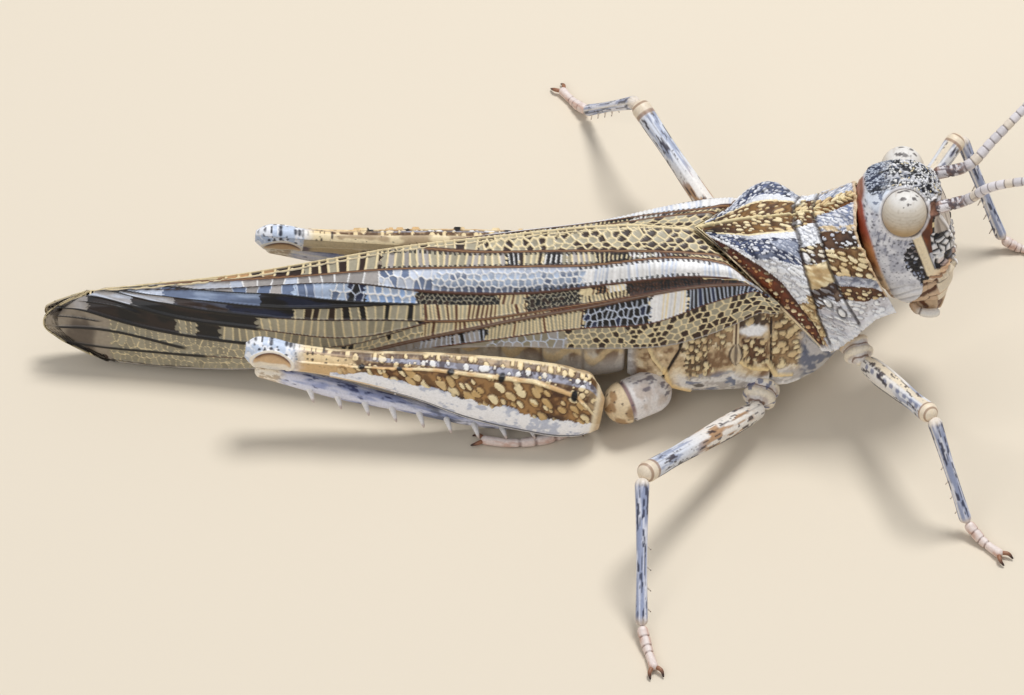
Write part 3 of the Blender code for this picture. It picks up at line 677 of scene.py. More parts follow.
def make_wing(side, sign):
    """One forewing. On the left one the markings near the crest lie a little further in."""
    grid, x, a, tip = wing_surface(WING_ROWS, WING_COLUMNS)
    width = np.linalg.norm(np.diff(grid, axis=1), axis=-1).sum(1)[:, None] * np.ones_like(x)
    drawn = a if sign < 0 else a + FAR_SHIFT * step(18.5, 21, x) * fade(30, 32, x) * (a < 0.4)
    tint, height = wing_markings(x, drawn, width, 3.0 if sign < 0 else 41.0)
    from_seam = a * width
    from_edge = (1 - a) * width
    tint = lay(tint, CREAM, fade(0.05, 0.12, from_seam) * 0.95)
    tint = lay(tint, CREAM * 0.85, fade(0.06, 0.14, x - tip) * 0.95)
    tint = lay(tint, ASH * 1.2, fade(0.05, 0.11, from_edge) * 0.8)
    height += 0.05 * fade(0.03, 0.12, np.minimum(from_seam, x - tip))
    grid = raised(grid, height)
    if sign < 0:
        flap = fade(0.0, 0.7, from_seam) * step(0.5, 5.0, x) * fade(26.0, 29.0, x)
        grid[..., 1] -= 0.22 * flap
        grid[..., 2] += 0.10 * flap
    made = plate(f"forewing_{side}", lean(grid * (1, sign, 1)), tint, WING_FINISH, WING_SHEET, DUN)
    keep(made, f"tegmen_{side}")


for side, sign in SIDES:
    make_wing(side, sign)

# %% [markdown]
# ## Grains, spots and painted lines
# Three marks return on every plate: round grains on a jittered lattice, single spots, and
# lines that follow a path. The first two give an amount from 0 to 1, and a line is made from
# the distance to its path. The same amount serves colour and relief.

# %% Marks
def grains(p, q, pitch, radius, seed, jitter=0.6, stretch=1.0):
    """1 at lattice points, easing to 0 at the radius; p and q are millimetres on the plate."""
    _, far, i, j = cells(p / (pitch * stretch), q / pitch, pitch, pitch, seed, jitter)
    own = radius * (0.65 + 0.7 * share(i, j, seed + 2))
    return fade(0.45, 1.0, far / own)


def blocks(p, q, pitch, groove, seed, jitter=0.5, stretch=1.0):
    """Flat-topped cells with grooves of this half width between them; also each cell's own share."""
    border, _, i, j = cells(p / (pitch * stretch), q / pitch, pitch * stretch, pitch, seed, jitter)
    return step(groove * 0.4, groove * 1.6, border), share(i, j, seed + 2)


def beads(p, q, pitch, radius, seed, jitter=0.9, stretch=1.0):
    """Uneven domes: how high each point is on its dome, the moat round it, and the dome's share."""
    warp = 0.4 * pitch * (noise(p * 0.8 / pitch, q * 0.8 / pitch, seed + 3.0) - 0.5)
    _, far, i, j = cells((p + warp) / (pitch * stretch), (q - warp) / pitch, pitch, pitch, seed, jitter)
    own = radius * (0.50 + 0.95 * share(i, j, seed + 2))
    dome = np.sqrt(np.clip(1 - (far / own) ** 2, 0, 1))
    return step(0.0, 0.55, dome), step(1.9, 1.15, far / own), share(i, j, seed + 4)


def spot(p, q, p0, q0, across_p, across_q):
    """1 inside an ellipse, easing to 0 at its rim."""
    return fade(0.6, 1.0, np.hypot((p - p0) / across_p, (q - q0) / across_q))


def line_at(value, at, half):
    """1 where the value is `at`, easing to 0 at the half width."""
    return fade(0.6, 1.0, np.abs(value - at) / half)


def near(points, path):
    """Distance of points from a path, and the share of the path's length at the nearest place."""
    path = np.array(path, float)
    lengths = np.linalg.norm(np.diff(path, axis=0), axis=1)
    starts = np.concatenate([[0], np.cumsum(lengths)])
    best = np.full(points.shape[:-1], 1e9)
    along = np.zeros(points.shape[:-1])
    for a, b, length, start in zip(path[:-1], path[1:], lengths, starts):
        t = np.clip(((points - a) @ (b - a)) / length**2, 0, 1)
        d = np.linalg.norm(points - a - t[..., None] * (b - a), axis=-1)
        closer = d < best
        best = np.where(closer, d, best)
        along = np.where(closer, (start + t * length) / starts[-1], along)
    return best, along


# %% [markdown]
# ## Neck shield
# The shield is a saddle with a sharp midline, two bulging shoulders and a hind margin that
# runs to a point. Two folds cross it. Behind them a blue triangle lies between a brown band
# and a white field with a rust stripe at its end. In front come six bands of bumps in turn
# and a white lobe.

# %% The saddle
MIDLINE = ((29.25, 0, 8.55), (31.4, 0, 9.12), (33.0, 0, 9.36), (34.2, 0, 9.60), (36.5, 0, 10.7))
INNER = ((30.3, 1.2, 8.52), (32.2, 1.35, 9.25), (34.0, 1.0, 9.45), (35.3, 0.95, 9.95), (36.45, 0.95, 10.5))
SHOULDER = ((31.3, 2.35, 8.25), (32.6, 2.5, 9.18), (34.0, 1.9, 8.95), (35.3, 1.8, 9.4), (36.5, 1.8, 9.95))
FLANK = ((33.2, 3.1, 6.5), (34.2, 3.1, 6.95), (35.2, 2.95, 7.3), (36.2, 2.8, 7.8), (37.28, 2.6, 8.45))
LOWER = ((35.15, 3.35, 4.3), (35.6, 3.35, 4.35), (36.65, 3.3, 5.2), (37.5, 3.15, 6.05), (38.4, 2.9, 6.3))
SHIELD_LINES_AT = (0.0, 0.25, 0.45, 0.70, 1.0)
# borders on the shield as share of its length against share of the way down its side
BAND_LOW = ((0.0, 0.25, 0.6), (0.05, 0.2, 0.25))
TRIANGLE_LOW = ((0.0, 0.15, 0.6), (0.0, 0.45, 0.6))
FRONT_AT = (0.55, 0.75, 1.0)
FRONT_BORDERS = (
    (0.10, 0.14, 0.10), (0.28, 0.35, 0.44), (0.45, 0.50, 0.55),
    (0.60, 0.64, 0.76), (0.66, 0.72, 0.84), (0.76, 0.85, 0.90),
)
# the same the other way: share down the side against share of the length
RIM = ((0.0, 0.55, 1.0), (0.015, 0.03, 0.12))
RUST_TOP = ((0.05, 0.4, 0.6, 0.85, 0.95), (0.0, 0.10, 0.19, 0.18, 0.10))
FIRST_FOLD = ((0.0, 0.4, 0.6, 0.8, 1.0), (0.61, 0.55, 0.43, 0.28, 0.15))
SECOND_FOLD = ((0.0, 0.45, 1.0), (0.73, 0.71, 0.54))


def shield_surface(rows, half):
    """Five lines from hind margin to front margin, eased across by the cubic."""
    s = np.linspace(0, 1, rows)
    lines = []
    for line in (MIDLINE, INNER, SHOULDER, FLANK, LOWER):
        knots = np.array(line)
        x = knots[0, 0] + (knots[-1, 0] - knots[0, 0]) * s
        lines.append(np.stack([x, *(smooth(knots[:, 0], knots[:, k], x) for k in (1, 2))], -1))
    lines = np.array(lines)
    u = np.linspace(-1, 1, 2 * half + 1)
    grid = np.stack(
        [[smooth(SHIELD_LINES_AT, lines[:, i, k], np.abs(u)) for i in range(rows)] for k in range(3)], -1
    )
    grid[..., 1] *= np.sign(u)
    return grid, np.broadcast_to(s[:, None], grid.shape[:2]), np.broadcast_to(u, grid.shape[:2])


# %% Colours that only the shield has, and its bands between and in front of the folds
IVORY, WHEAT, EARTH = (246, 228, 184), (222, 194, 144), (92, 60, 34)
CHALK, PEARL, STONE = (240, 241, 245), (196, 198, 208), (70, 78, 104)
# dark ground, light ground, bead, bead highlight painted on the dome tops, pitch, radius, rise, seed,
# stretch, share left bare;
# the middle ones start with the shares of the way down between which they lie
MIDDLE_BANDS = (
    (-1.0, 0.22, EARTH, (128, 92, 54), WHEAT, IVORY, 0.28, 0.104, 0.09, 26.0),
    (0.22, 0.43, PEARL, CHALK, CHALK, (250, 250, 252), 0.23, 0.104, 0.06, 27.0, 0.7),
    (0.43, 0.545, (74, 50, 34), (120, 90, 60), IVORY, CHALK, 0.27, 0.104, 0.09, 28.0),
    (0.665, 2.0, (88, 66, 52), (132, 110, 94), PEARL, CHALK, 0.32, 0.120, 0.10, 29.0),
)
FRONT_BANDS = (
    ((96, 60, 28), (140, 96, 50), WHEAT, IVORY, 0.32, 0.125, 0.13, 30.0, 0.8, 0.0),
    ((120, 132, 166), (206, 212, 226), PEARL, CHALK, 0.26, 0.120, 0.05, 31.0, 0.55, 0.0),
    ((58, 36, 22), (96, 64, 38), PEARL, CHALK, 0.25, 0.080, 0.07, 32.0, 1.0, 0.3),
    ((112, 76, 44), (160, 122, 78), WHEAT, IVORY, 0.34, 0.145, 0.15, 33.0, 0.8, 0.0),
    ((170, 170, 186), CHALK, PEARL, CHALK, 0.27, 0.120, 0.06, 34.0, 1.4, 0.0),
    ((74, 44, 28), (112, 74, 46), WHEAT, IVORY, 0.25, 0.080, 0.08, 35.0, 1.0, 0.1),
)


# %% Bands, grains and folds
def shield_markings(s, u, p, q):
    """Tint and height; p and q are millimetres along and across."""
    w = np.abs(u)
    rim, rust_top = np.interp(w, *RIM), np.interp(w, *RUST_TOP)
    fold_1, fold_2 = np.interp(w, *FIRST_FOLD), np.interp(w, *SECOND_FOLD)
    wave = 0.045 * (rough(p * 2.2, q * 2.2, 5.0) - 0.5)
    band, low = np.interp(s, *BAND_LOW) + wave, np.interp(s, *TRIANGLE_LOW) + wave
    borders = [np.full(s.shape, -1.0), *(np.interp(s, FRONT_AT, border) for border in FRONT_BORDERS)]
    w = w + wave
    s_wavy = s + 0.5 * wave
    behind = s_wavy < fold_1
    ahead = s_wavy >= fold_2
    between = ~behind & ~ahead
    cloud = rough(p * 1.3, q * 1.3, 8.0)
    fine = rough(p * 4.5, q * 4.5, 8.5)
    tint = paint(116, 82, 46)
    height = 0.03 * (fine - 0.5)

    def field(mask, dark, light, bead, bead_highlight, pitch, radius, rise, seed, stretch=1.0, share_bare=0.0):
        """Beads with a painted highlight on their tops and painted shade in their moats, on a mottled ground,
        laid over what is there.
        """
        nonlocal tint, height
        dome, moat, own = beads(p, q, pitch, radius, seed, 0.9, stretch)
        there = (own >= share_bare) * 1.0
        ground = lay(dark, light, step(0.35, 0.68, 0.5 * cloud + 0.5 * fine))
        # painted shade: the moat round each bead is darkened; painted highlight: the bead colour brightens
        # towards each dome's top
        ground = lay(ground, paint(*dark) * 0.55, moat * there * 0.6)
        ground = lay(ground, lay(bead, bead_highlight, step(0.25, 0.8, own) * step(0.3, 0.9, dome)), dome * there)
        tint = lay(tint, ground, mask * 1.0)
        height += mask * (dome * there * rise - moat * there * 0.02)

    field(behind & (w <= band), (84, 56, 30), (134, 98, 54), WHEAT, IVORY, 0.29, 0.085, 0.06, 21.0, 1.3)
    tint = lay(tint, INK, (behind & (w <= band)) * fade(0.08, 0.22, s) * 0.75 * (w > 0.03))
    blue = behind & (w > band) & (w <= low)
    field(blue, (40, 46, 68), (96, 106, 138), PEARL, CHALK, 0.20, 0.064, 0.05, 22.0)
    triangle = blue & (w > band + 0.02)
    tint = lay(tint, (34, 32, 40), triangle * step(0.60, 0.72, cloud) * fade(0.3, 0.6, fine) * 0.7)
    tint = lay(tint, (176, 184, 204), triangle * step(0.40, 0.28, cloud) * 0.55)
    pale = behind & (w > band) & (w < band + 0.04 + 0.07 * s / 0.6 + 0.05 * (fine - 0.5))
    tint = lay(tint, CHALK, pale * step(0.10, 0.34, s) * 0.85)
    tint = lay(tint, IVORY, behind * line_at(w, band + 0.004, 0.014) * 0.9 * (s > 0.08))
    white = behind & (w > low) & (s > rust_top)
    field(white, (214, 212, 216), CHALK, CHALK, (250, 250, 250), 0.25, 0.120, 0.06, 23.0)
    field(white & (w > 0.66 + 0.06 * fine), (168, 128, 84), WHEAT, WHEAT, IVORY, 0.28, 0.136, 0.10, 24.0)
    stripe = behind & (s <= rust_top) & (s > rim * 0.35)
    field(stripe, (88, 42, 22), (126, 62, 32), (206, 150, 96), IVORY, 0.27, 0.075, 0.07, 25.0, 1.2)
    tint = lay(tint, (58, 26, 16), stripe * step(-0.05, -0.015, s - rust_top) * 0.8)
    tint = lay(tint, (58, 28, 16), stripe * fade(0.01, 0.035, s - rim * 0.35) * 0.8)
    # between the folds
    for start, stop, *bumps in MIDDLE_BANDS:
        field(between & (w >= start) & (w < stop), *bumps)
    block = between & (w >= 0.545) & (w < 0.665)
    tint = lay(tint, lay((196, 166, 118), IVORY, step(0.3, 0.7, fine)), block * 1.0)
    tint = lay(tint, (156, 120, 74), block * spot(s, w, 0.54, 0.60, 0.05, 0.035) * 0.6)
    height += (
        block * 0.08 * step(0, 0.03, np.minimum(w - 0.545, 0.665 - w))
        * step(0, 0.03, np.minimum(s - fold_1, fold_2 - s))
    )
    tint = lay(tint, (58, 36, 24), between * line_at(w, 0.69, 0.03) * 0.8)
    # in front of them
    bands = [ahead & (w > above) & (w <= below) for above, below in zip(borders, borders[1:])]
    for strip, bumps in zip(bands, FRONT_BANDS):
        field(strip, *bumps)
    tint = lay(tint, STONE, bands[1] * step(0.60, 0.70, rough(p * 5, q * 1.6, 31.5)) * 0.7)
    tint = lay(tint, WHEAT, bands[1] * (w > borders[2] - 0.06) * step(0.35, 0.6, fine) * 0.85)
    tint = lay(tint, STONE, bands[4] * step(0.60, 0.72, rough(p * 2.2, q * 3.5, 34.5)) * 0.6)
    lobe = (w > borders[-1]) & (s > 0.14) & ~((s < fold_1) & (w < 0.93))
    field(lobe, (206, 202, 206), (240, 240, 243), CHALK, (250, 250, 250), 0.27, 0.112, 0.05, 36.0, 1.0, 0.4)
    tint = lay(tint, (112, 98, 98), lobe * grains(p, q, 0.40, 0.06, 37.0, 0.9) * (w < 0.95) * 0.7)
    tint = lay(tint, (150, 136, 130), lobe * step(0.55, 0.68, cloud) * (w < 0.93) * 0.45)
    for s0, w0 in ((0.53, 0.50), (0.45, 0.75), (0.50, 0.835), (0.60, 0.16)):
        bump = spot(s, w, s0, w0, 0.035, 0.032)
        ring = spot(s, w, s0, w0, 0.055, 0.050)
        tint = lay(lay(tint, (44, 30, 26), ring * 0.8), MILK, bump)
        height += bump * 0.10
    # folds, keel and margins
    for fold, deep in ((fold_1, 0.07), (fold_2, 0.06)):
        line = fade(0.006, 0.022, np.abs(s_wavy - fold))
        tint = lay(tint, (52, 40, 38), line * 0.75 * (w > 0.03))
        height -= line * deep
    keel = fade(0.005, 0.014, np.abs(u))
    broken = 0.6 + 0.4 * np.sin(p * 11.0 + 3 * cloud)
    height += keel * 0.13 * np.where(s > 0.6, broken, 1.0)
    tint = lay(tint, (240, 222, 172), keel * np.where(s > 0.6, step(0.2, 0.6, broken), 1.0) * 0.95)
    edge = fade(0.30, 0.42, s / rim) * (w < 0.985)
    tint = lay(tint, (236, 214, 176), edge * 0.95)
    height += edge * 0.03 - 0.08 * fade(0.0, 0.09, s) * step(0.06, 0.2, w) * fade(0.8, 0.97, w)
    side_rim = step(0.955, 0.985, np.abs(u))
    tint = lay(tint, (242, 240, 240), side_rim * 0.95)
    front_rim = step(0.975, 0.99, s) * (w < 0.9)
    tint = lay(tint, (226, 196, 156), front_rim * 0.8)
    height += 0.07 * side_rim + 0.02 * front_rim
    swell = np.exp(-(((np.abs(u) - 0.41) / 0.13) ** 2)) * step(0.0, 0.16, s) * fade(0.38, 0.56, s)
    return tint, height + 0.13 * swell


SHIELD_ROWS = 190
SHIELD_HALF = 200
SHIELD_SHEET = 0.12
SHIELD_LINING = CREAM * 0.8
saddle, length_share, side_share = shield_surface(SHIELD_ROWS, SHIELD_HALF)
steps_along = np.linalg.norm(np.diff(saddle, axis=0, prepend=saddle[:1]), axis=-1)
steps_across = np.linalg.norm(np.diff(saddle, axis=1, prepend=saddle[:, :1]), axis=-1)
along_mm = np.cumsum(steps_along, axis=0)
across_mm = np.cumsum(steps_across, axis=1)
across_mm = across_mm - across_mm[:, SHIELD_HALF : SHIELD_HALF + 1]
shield_tint, shield_height = shield_markings(length_share, side_share, along_mm, across_mm)
saddle = lean(raised(saddle, shield_height))
SHELL_FINISH = finish("grained_shell", roughness=0.48, grain=9000.0, depth=0.00001, mottle=0.10)
shield = plate("neck_shield", saddle, shield_tint, SHELL_FINISH, SHIELD_SHEET, SHIELD_LINING)
keep(shield, "pronotum")

# %% [markdown]
# ## Head
# The head is a stack of rounded levels, rounder in front and boxier behind, where a red collar
# runs round it. A map that starts at the crown keeps the mosaic there free of pinching.
# Markings are placed by their distance from short paths on the right side, and mirrored.

# %% The head's levels
HEAD_LEVELS = (
    (5.48, 39.05, 40.50, 0.95), (5.62, 38.75, 40.75, 1.30), (5.95, 38.40, 40.90, 1.68),
    (6.40, 37.95, 41.00, 1.90), (7.00, 37.42, 41.06, 2.04), (8.00, 36.90, 41.00, 2.12),
    (9.00, 36.62, 40.84, 2.08), (10.0, 36.52, 40.64, 1.95), (10.7, 36.55, 40.38, 1.80),
    (11.3, 36.72, 40.10, 1.50), (11.75, 37.08, 39.80, 1.15), (12.05, 37.68, 39.48, 0.75),
    (12.17, 38.15, 39.10, 0.35), (12.20, 38.50, 38.80, 0.10),
)
FRONT_POWER = 2.3
REAR_POWERS = (4.6, 2.8)  # below and above the eyes


def stacked(table, rows, columns, front_power, rear_powers):
    """Levels joined evenly along the profile; |a|^power + |b|^power = 1 round each of them."""
    table = np.array(table)
    z = np.linspace(table[0, 0], table[-1, 0], 2000)
    rear, front, half = (smooth(table[:, 0], table[:, k], z) for k in (1, 2, 3))
    travel = np.cumsum(np.hypot(np.hypot(np.gradient(z), np.gradient(half)), np.gradient(front - rear) / 2))
    even = np.linspace(travel[0], travel[-1], rows)
    z, rear, front, half = (np.interp(even, travel, v)[:, None] for v in (z, rear, front, half))
    turn = np.linspace(-pi, pi, columns, endpoint=False)[None, :]
    rear_power = np.interp(z, (9.3, 10.8), rear_powers)
    power = front_power + (rear_power - front_power) * step(1.2, 2.0, np.abs(turn))
    reach = (np.abs(np.cos(turn)) ** power + np.abs(np.sin(turn)) ** power) ** (-1 / power)
    x = (rear + front) / 2 + (front - rear) / 2 * reach * np.cos(turn)
    grid = np.stack([x, half * reach * np.sin(turn), z * np.ones_like(turn)], -1)
    return grid, (even[-1] - even)[:, None] * np.ones_like(turn), turn * np.ones_like(z)


# %% Lines on the head's right side, from few points each
COLLAR = ((5.5, 6.5, 8.5, 11.0, 11.5), (38.9, 38.2, 37.5, 36.7, 36.8))
KEEL = ((39.1, -1.9, 10.1), (39.6, -2.05, 8.8), (39.9, -2.0, 7.9), (40.4, -1.8, 7.8), (40.9, -1.3, 8.0))
KEEL_X = ((7.0, 7.9, 8.8, 10.1, 10.8), (40.1, 39.9, 39.6, 39.1, 39.3))
CROWN_LOW = ((36.5, 38.6, 39.8, 41.5), (11.4, 12.0, 11.2, 10.9))
PATCH_REAR = ((7.2, 8.6, 9.9), (39.5, 38.6, 39.0))
FACE_EDGE = ((40.1, -1.2, 10.7), (40.6, -0.85, 9.5), (40.9, -0.5, 8.2), (41.0, -0.6, 7.2))
CREST = ((39.6, -1.3, 11.0), (39.8, -1.0, 11.35), (40.1, -0.6, 11.35), (40.4, 0.0, 11.0))


# %% The head's markings
def head_markings(grid, down, turn):
    """Tint and height of the head; y is mirrored, so both sides agree."""
    p = grid * (1, 0, 1) - np.abs(grid) * (0, 1, 0)
    x, y, z = p[..., 0], p[..., 1], p[..., 2]
    side_mm = turn * 2.0
    s = np.abs(turn)
    cloud = rough(x * 2.2 + 4, z * 2.2 + y, 50.0)
    soft = rough(x * 1.1, z * 1.1 + 7, 51.5)
    tint = lay((226, 226, 232), (166, 168, 182), step(0.42, 0.72, cloud) * 0.75)
    height = 0.03 * (cloud - 0.5)
    # cheek: grey clouds below the eye, pores, strokes, pale spots, wrinkles at the lower end
    cheek = (s > 1.0) * step(6.3, 7.6, z)
    tint = lay(tint, (132, 134, 152), cheek * step(0.45, 0.72, soft) * step(8.2, 9.2, z) * 0.75)
    pores = grains(z + side_mm * 0.2, side_mm, 0.23, 0.045, 51.0, 0.9)
    tint = lay(tint, (96, 96, 116), pores * cheek * 0.7)
    strokes = step(0.60, 0.72, rough(z * 3.2 + 1.2 * x, x * 9 - z * 2, 52.0))
    tint = lay(tint, (88, 92, 116), strokes * (s > 1.45) * step(8.4, 9.4, z) * fade(11.0, 11.6, z) * 0.7)
    tint = lay(
        tint, (50, 50, 66),
        grains(x, z, 0.30, 0.06, 53.0, 0.9) * step(39.1, 38.5, x) * (s > 1.2) * step(7.4, 8.2, z) * 0.8
    )
    pale_spots = grains(x + 0.4 * z, z, 0.36, 0.15, 53.5, 0.9)
    tint = lay(tint, (240, 241, 244), pale_spots * cheek * step(0.5, 0.35, cloud) * 0.7)
    ripple = np.sin(15 * np.hypot(x - 39.9, (z - 5.2) * 1.2) + 2.6 * cloud)
    low = fade(6.6, 7.6, z) * step(1.25, 1.5, s)
    tint = lay(tint, (232, 230, 230), low * 0.7)
    tint = lay(tint, (158, 156, 160), low * step(0.2, 0.9, ripple) * 0.6)
    height += -0.035 * low * step(0.1, 0.9, ripple) + 0.10 * spot(x, z, 39.0, 6.2, 1.1, 0.9) * (s > 1.3)
    # crown mosaic: white and black beads, bluer and finer towards the collar
    crown = z > np.interp(x, *CROWN_LOW) + 0.16 * (noise(x * 5, y * 5, 2.0) - 0.5)
    cp, cq = down * np.cos(turn), down * np.sin(turn)
    warp = 0.10 * (noise(cp * 4, cq * 4, 5.5) - 0.5)
    tops, pick = blocks(cp + warp, cq - warp, 0.155, 0.030, 54.0, 0.95, 1.15)
    rear = step(38.3, 37.3, x + 0.5 * (cloud - 0.5))
    mosaic = lay((20, 20, 28), (112, 118, 134), tops * (pick > 0.38))
    mosaic = lay(mosaic, (238, 236, 232), tops * (pick > 0.52))
    mosaic = lay(mosaic, (232, 214, 168), tops * (pick > 0.93))
    lines = fade(0.02, 0.09, np.abs(rough(cp * 2.0, cq * 2.0, 54.5) - 0.5))
    mosaic = lay(mosaic, (232, 232, 236), lines * 0.75)
    back_tops, back_pick = blocks(cp * 0.9 + warp, cq * 1.2, 0.15, 0.026, 55.0, 0.95)
    fine = lay((60, 66, 86), (206, 214, 228), back_tops * (back_pick > 0.25))
    fine = lay(fine, (24, 26, 36), step(0.58, 0.68, rough(cp * 1.6, cq * 3.4, 55.5)) * 0.9)
    tint = lay(tint, lay(mosaic, fine, rear), crown * 1.0)
    height += crown * (tops * (1 - rear) + back_tops * rear) * 0.05 + crown * lines * 0.02
    behind = spot(x, z, 37.55, 11.45, 0.95, 0.62) * ~crown * (s > 1.5)
    tint = lay(tint, (226, 234, 246), behind * 0.9)
    tint = lay(tint, (84, 96, 126), behind * step(0.56, 0.66, rough(x * 4, z * 7, 56.0)) * 0.8)
    # dark patch with pale grains between cheek and keel
    keel_gap, keel_along = near(p, KEEL)
    front = np.interp(z, *KEEL_X)
    ragged = 0.30 * (noise(x * 7, z * 7, 12.5) - 0.5)
    patch = (z < 9.98) & (z > 7.15) & (x > np.interp(z, *PATCH_REAR) + ragged) & (x < front) & (s > 0.7)
    pebbles, which = blocks(z, side_mm, 0.19, 0.045, 57.0, 0.9)
    tint = lay(tint, (22, 20, 28), patch * 1.0)
    edge_zone = step(0.75, 0.25, x - np.interp(z, *PATCH_REAR)) * patch
    tint = lay(tint, (158, 166, 190), edge_zone * pebbles * (which > 0.45))
    tint = lay(tint, (232, 234, 240), patch * pebbles * (which > 0.74) * fade(8.8, 9.3, z))
    tint = lay(tint, (112, 84, 56), patch * pebbles * (which > 0.55) * step(8.6, 9.2, z) * 0.8)
    height += patch * (pebbles * 0.05 - 0.04)
    # orange field in front of the keel with a dotted line, then the grey panel of the face
    line_x = 39.9 + 0.05 * (10.6 - z)
    field = (x > front) & (x < line_x) & (z > 8.95) & (z < 10.95) & (s > 0.5)
    tint = lay(tint, (128, 66, 24), field * 1.0)
    tint = lay(tint, (78, 36, 16), field * step(0.35, 0.7, noise(z * 2.5, side_mm * 6, 6.0)) * 0.8)
    dotted = fade(0.03, 0.07, np.abs(x - line_x)) * (z > 8.9) * (z < 10.8) * (s > 0.4)
    tint = lay(tint, (24, 16, 16), dotted)
    tint = lay(tint, (236, 212, 164), dotted * step(0.0, 0.4, np.sin(z * 13)))
    panel = (x > line_x + 0.05) & (z > 8.2) & (z < 10.95) & (s < 1.4)
    streak = noise(z * 1.3, side_mm * 7, 12.0)
    tint = lay(tint, lay((200, 188, 176), (150, 136, 126), step(0.4, 0.8, streak)), panel * 1.0)
    network, kind = blocks(z + 0.35 * side_mm, side_mm * 0.8, 0.34, 0.055, 58.0, 0.95, 1.2)
    net = (z < 9.75 + 0.6 * (cloud - 0.5) + 0.8 * (s - 0.7)) & (z > 7.2) & (s < 1.0) & (x > front + 0.10)
    tint = lay(tint, (20, 18, 26), net * 1.0)
    tint = lay(tint, (236, 234, 234), net * network * (kind > 0.45))
    tint = lay(tint, (74, 78, 100), net * network * (kind > 0.25) * (kind <= 0.45))
    tint = lay(tint, (206, 160, 134), net * network * (kind > 0.72) * step(8.6, 7.9, z))
    height += net * (network - 0.5) * 0.08
    tint = lay(tint, MILK, spot(x, z, 40.30, 8.62, 0.30, 0.17) * (s > 0.4))
    tint = lay(tint, INK, spot(x, z, 40.62, 8.36, 0.20, 0.15) * (s > 0.3))
    height += 0.06 * spot(x, z, 40.30, 8.62, 0.30, 0.17) * (s > 0.4)
    # lip shield in two cream folds, and the creased jaw behind it
    lip = (z < 7.72) & (s < 1.28) & (x > 39.85)
    tint = lay(tint, (238, 222, 196), lip * 1.0)
    under_keel = step(0.16, 0.10, np.abs(keel_gap - 0.26)) * lip
    tint = lay(tint, (168, 112, 72), under_keel * 0.8)
    fold = np.abs(z - 6.98 - 0.25 * (s - 0.6))
    tint = lay(tint, (66, 38, 26), lip * fade(0.05, 0.13, fold) * 0.95)
    tint = lay(tint, (176, 124, 86), lip * fade(0.10, 0.20, np.abs(z - 6.30)) * 0.7)
    height += lip * (0.07 * np.cos((z - 7.30) * 7.5) - 0.10 * fade(0.04, 0.12, fold))
    jaw = (z < 7.42) & (s >= 0.98) & (x > 38.95 + 0.65 * step(5.4, 6.9, z))
    crease = np.sin(z * 11 + 7 * s + 4 * cloud)
    tint = lay(tint, lay((206, 176, 146), (92, 58, 38), step(0.0, 0.8, crease)), jaw * 1.0)
    height += jaw * (-0.06 - 0.05 * step(0.0, 0.8, crease))
    # raised lines
    keel = fade(0.17, 0.23, keel_gap)
    tint = lay(tint, (46, 28, 22), fade(0.21, 0.30, keel_gap) * 0.85)
    tint = lay(tint, lay((242, 224, 190), (232, 190, 152), step(0.62, 0.9, keel_along)), keel)
    height += 0.15 * np.sqrt(np.clip(1 - (keel_gap / 0.28) ** 2, 0, 1))
    edge_gap, _ = near(p, FACE_EDGE)
    crest_gap, _ = near(p, CREST)
    edge_gap = np.minimum(edge_gap, crest_gap)
    edge = fade(0.05, 0.11, edge_gap)
    tint = lay(tint, (60, 46, 46), fade(0.10, 0.17, edge_gap) * 0.6)
    # painted highlight: the white line along the raised face edge and crest
    tint = lay(tint, (244, 240, 238), edge)
    height += 0.10 * np.sqrt(np.clip(1 - (edge_gap / 0.16) ** 2, 0, 1))
    ring_gap = np.linalg.norm(p - np.array((39.96, -1.28, 11.02)), axis=-1)
    tint = lay(tint, (176, 132, 112), fade(0.36, 0.44, ring_gap))
    tint = lay(tint, (70, 44, 38), fade(0.02, 0.06, np.abs(ring_gap - 0.40)) * 0.8)
    height += 0.05 * fade(0.03, 0.09, np.abs(ring_gap - 0.46)) - 0.05 * fade(0.22, 0.36, ring_gap)
    # eye rim and collar
    offset = (p - EYE_AT * RIGHT_HAND) / np.array(EYE_RADII)
    orbit = np.linalg.norm(offset, axis=-1)
    tint = lay(tint, (236, 234, 236), fade(1.08, 1.20, orbit) * 0.75)
    tint = lay(tint, (92, 76, 62), fade(1.0, 1.07, orbit) * 0.9)
    height += 0.05 * fade(0.02, 0.10, np.abs(orbit - 1.12))
    seam = np.interp(z, *COLLAR) - x
    band = step(-0.05, 0.04, seam + 0.05 * (cloud - 0.5)) * (s > 1.7)
    warm = lay((150, 68, 46), (190, 128, 80), step(10.0, 9.0, z))
    warm = lay(warm, (222, 190, 150), step(8.4, 7.4, z))
    warm = lay(warm, (196, 150, 122), step(10.9, 11.4, z) * 0.7)
    warm = lay(warm, (96, 44, 28), step(0.45, 0.7, rough(z * 2.4, seam * 5, 59.0)) * 0.6)
    tint = lay(tint, warm, band)
    # painted shade: the hind end of the collar, where the head goes in under the shield, is darkened
    tint = lay(tint, (40, 24, 20), step(0.34, 0.42, seam) * (s > 1.7) * step(8.6, 9.4, z) * 0.8)
    height += 0.06 * band - 0.04 * fade(0.02, 0.08, np.abs(seam)) * (s > 1.7)
    return tint, height


EYE_RADII = (1.0, 0.98, 1.12)
head_grid, crown_down, head_turn = stacked(HEAD_LEVELS, 200, 320, FRONT_POWER, REAR_POWERS)
head_tint, head_height = head_markings(head_grid, crown_down, head_turn)
HEAD_FINISH = finish("face", roughness=0.42, grain=11000.0, depth=0.000008, mottle=0.06)
keep(tube("head_skin", lean(raised(head_grid, head_height)), head_tint, HEAD_FINISH), "head")

# %% [markdown]
# ## Eyes
# A large smooth globe on each side, ivory above and tan below, partly its own colour and partly
# painted light from above, with faint level rings and a few dark flecks near the top.

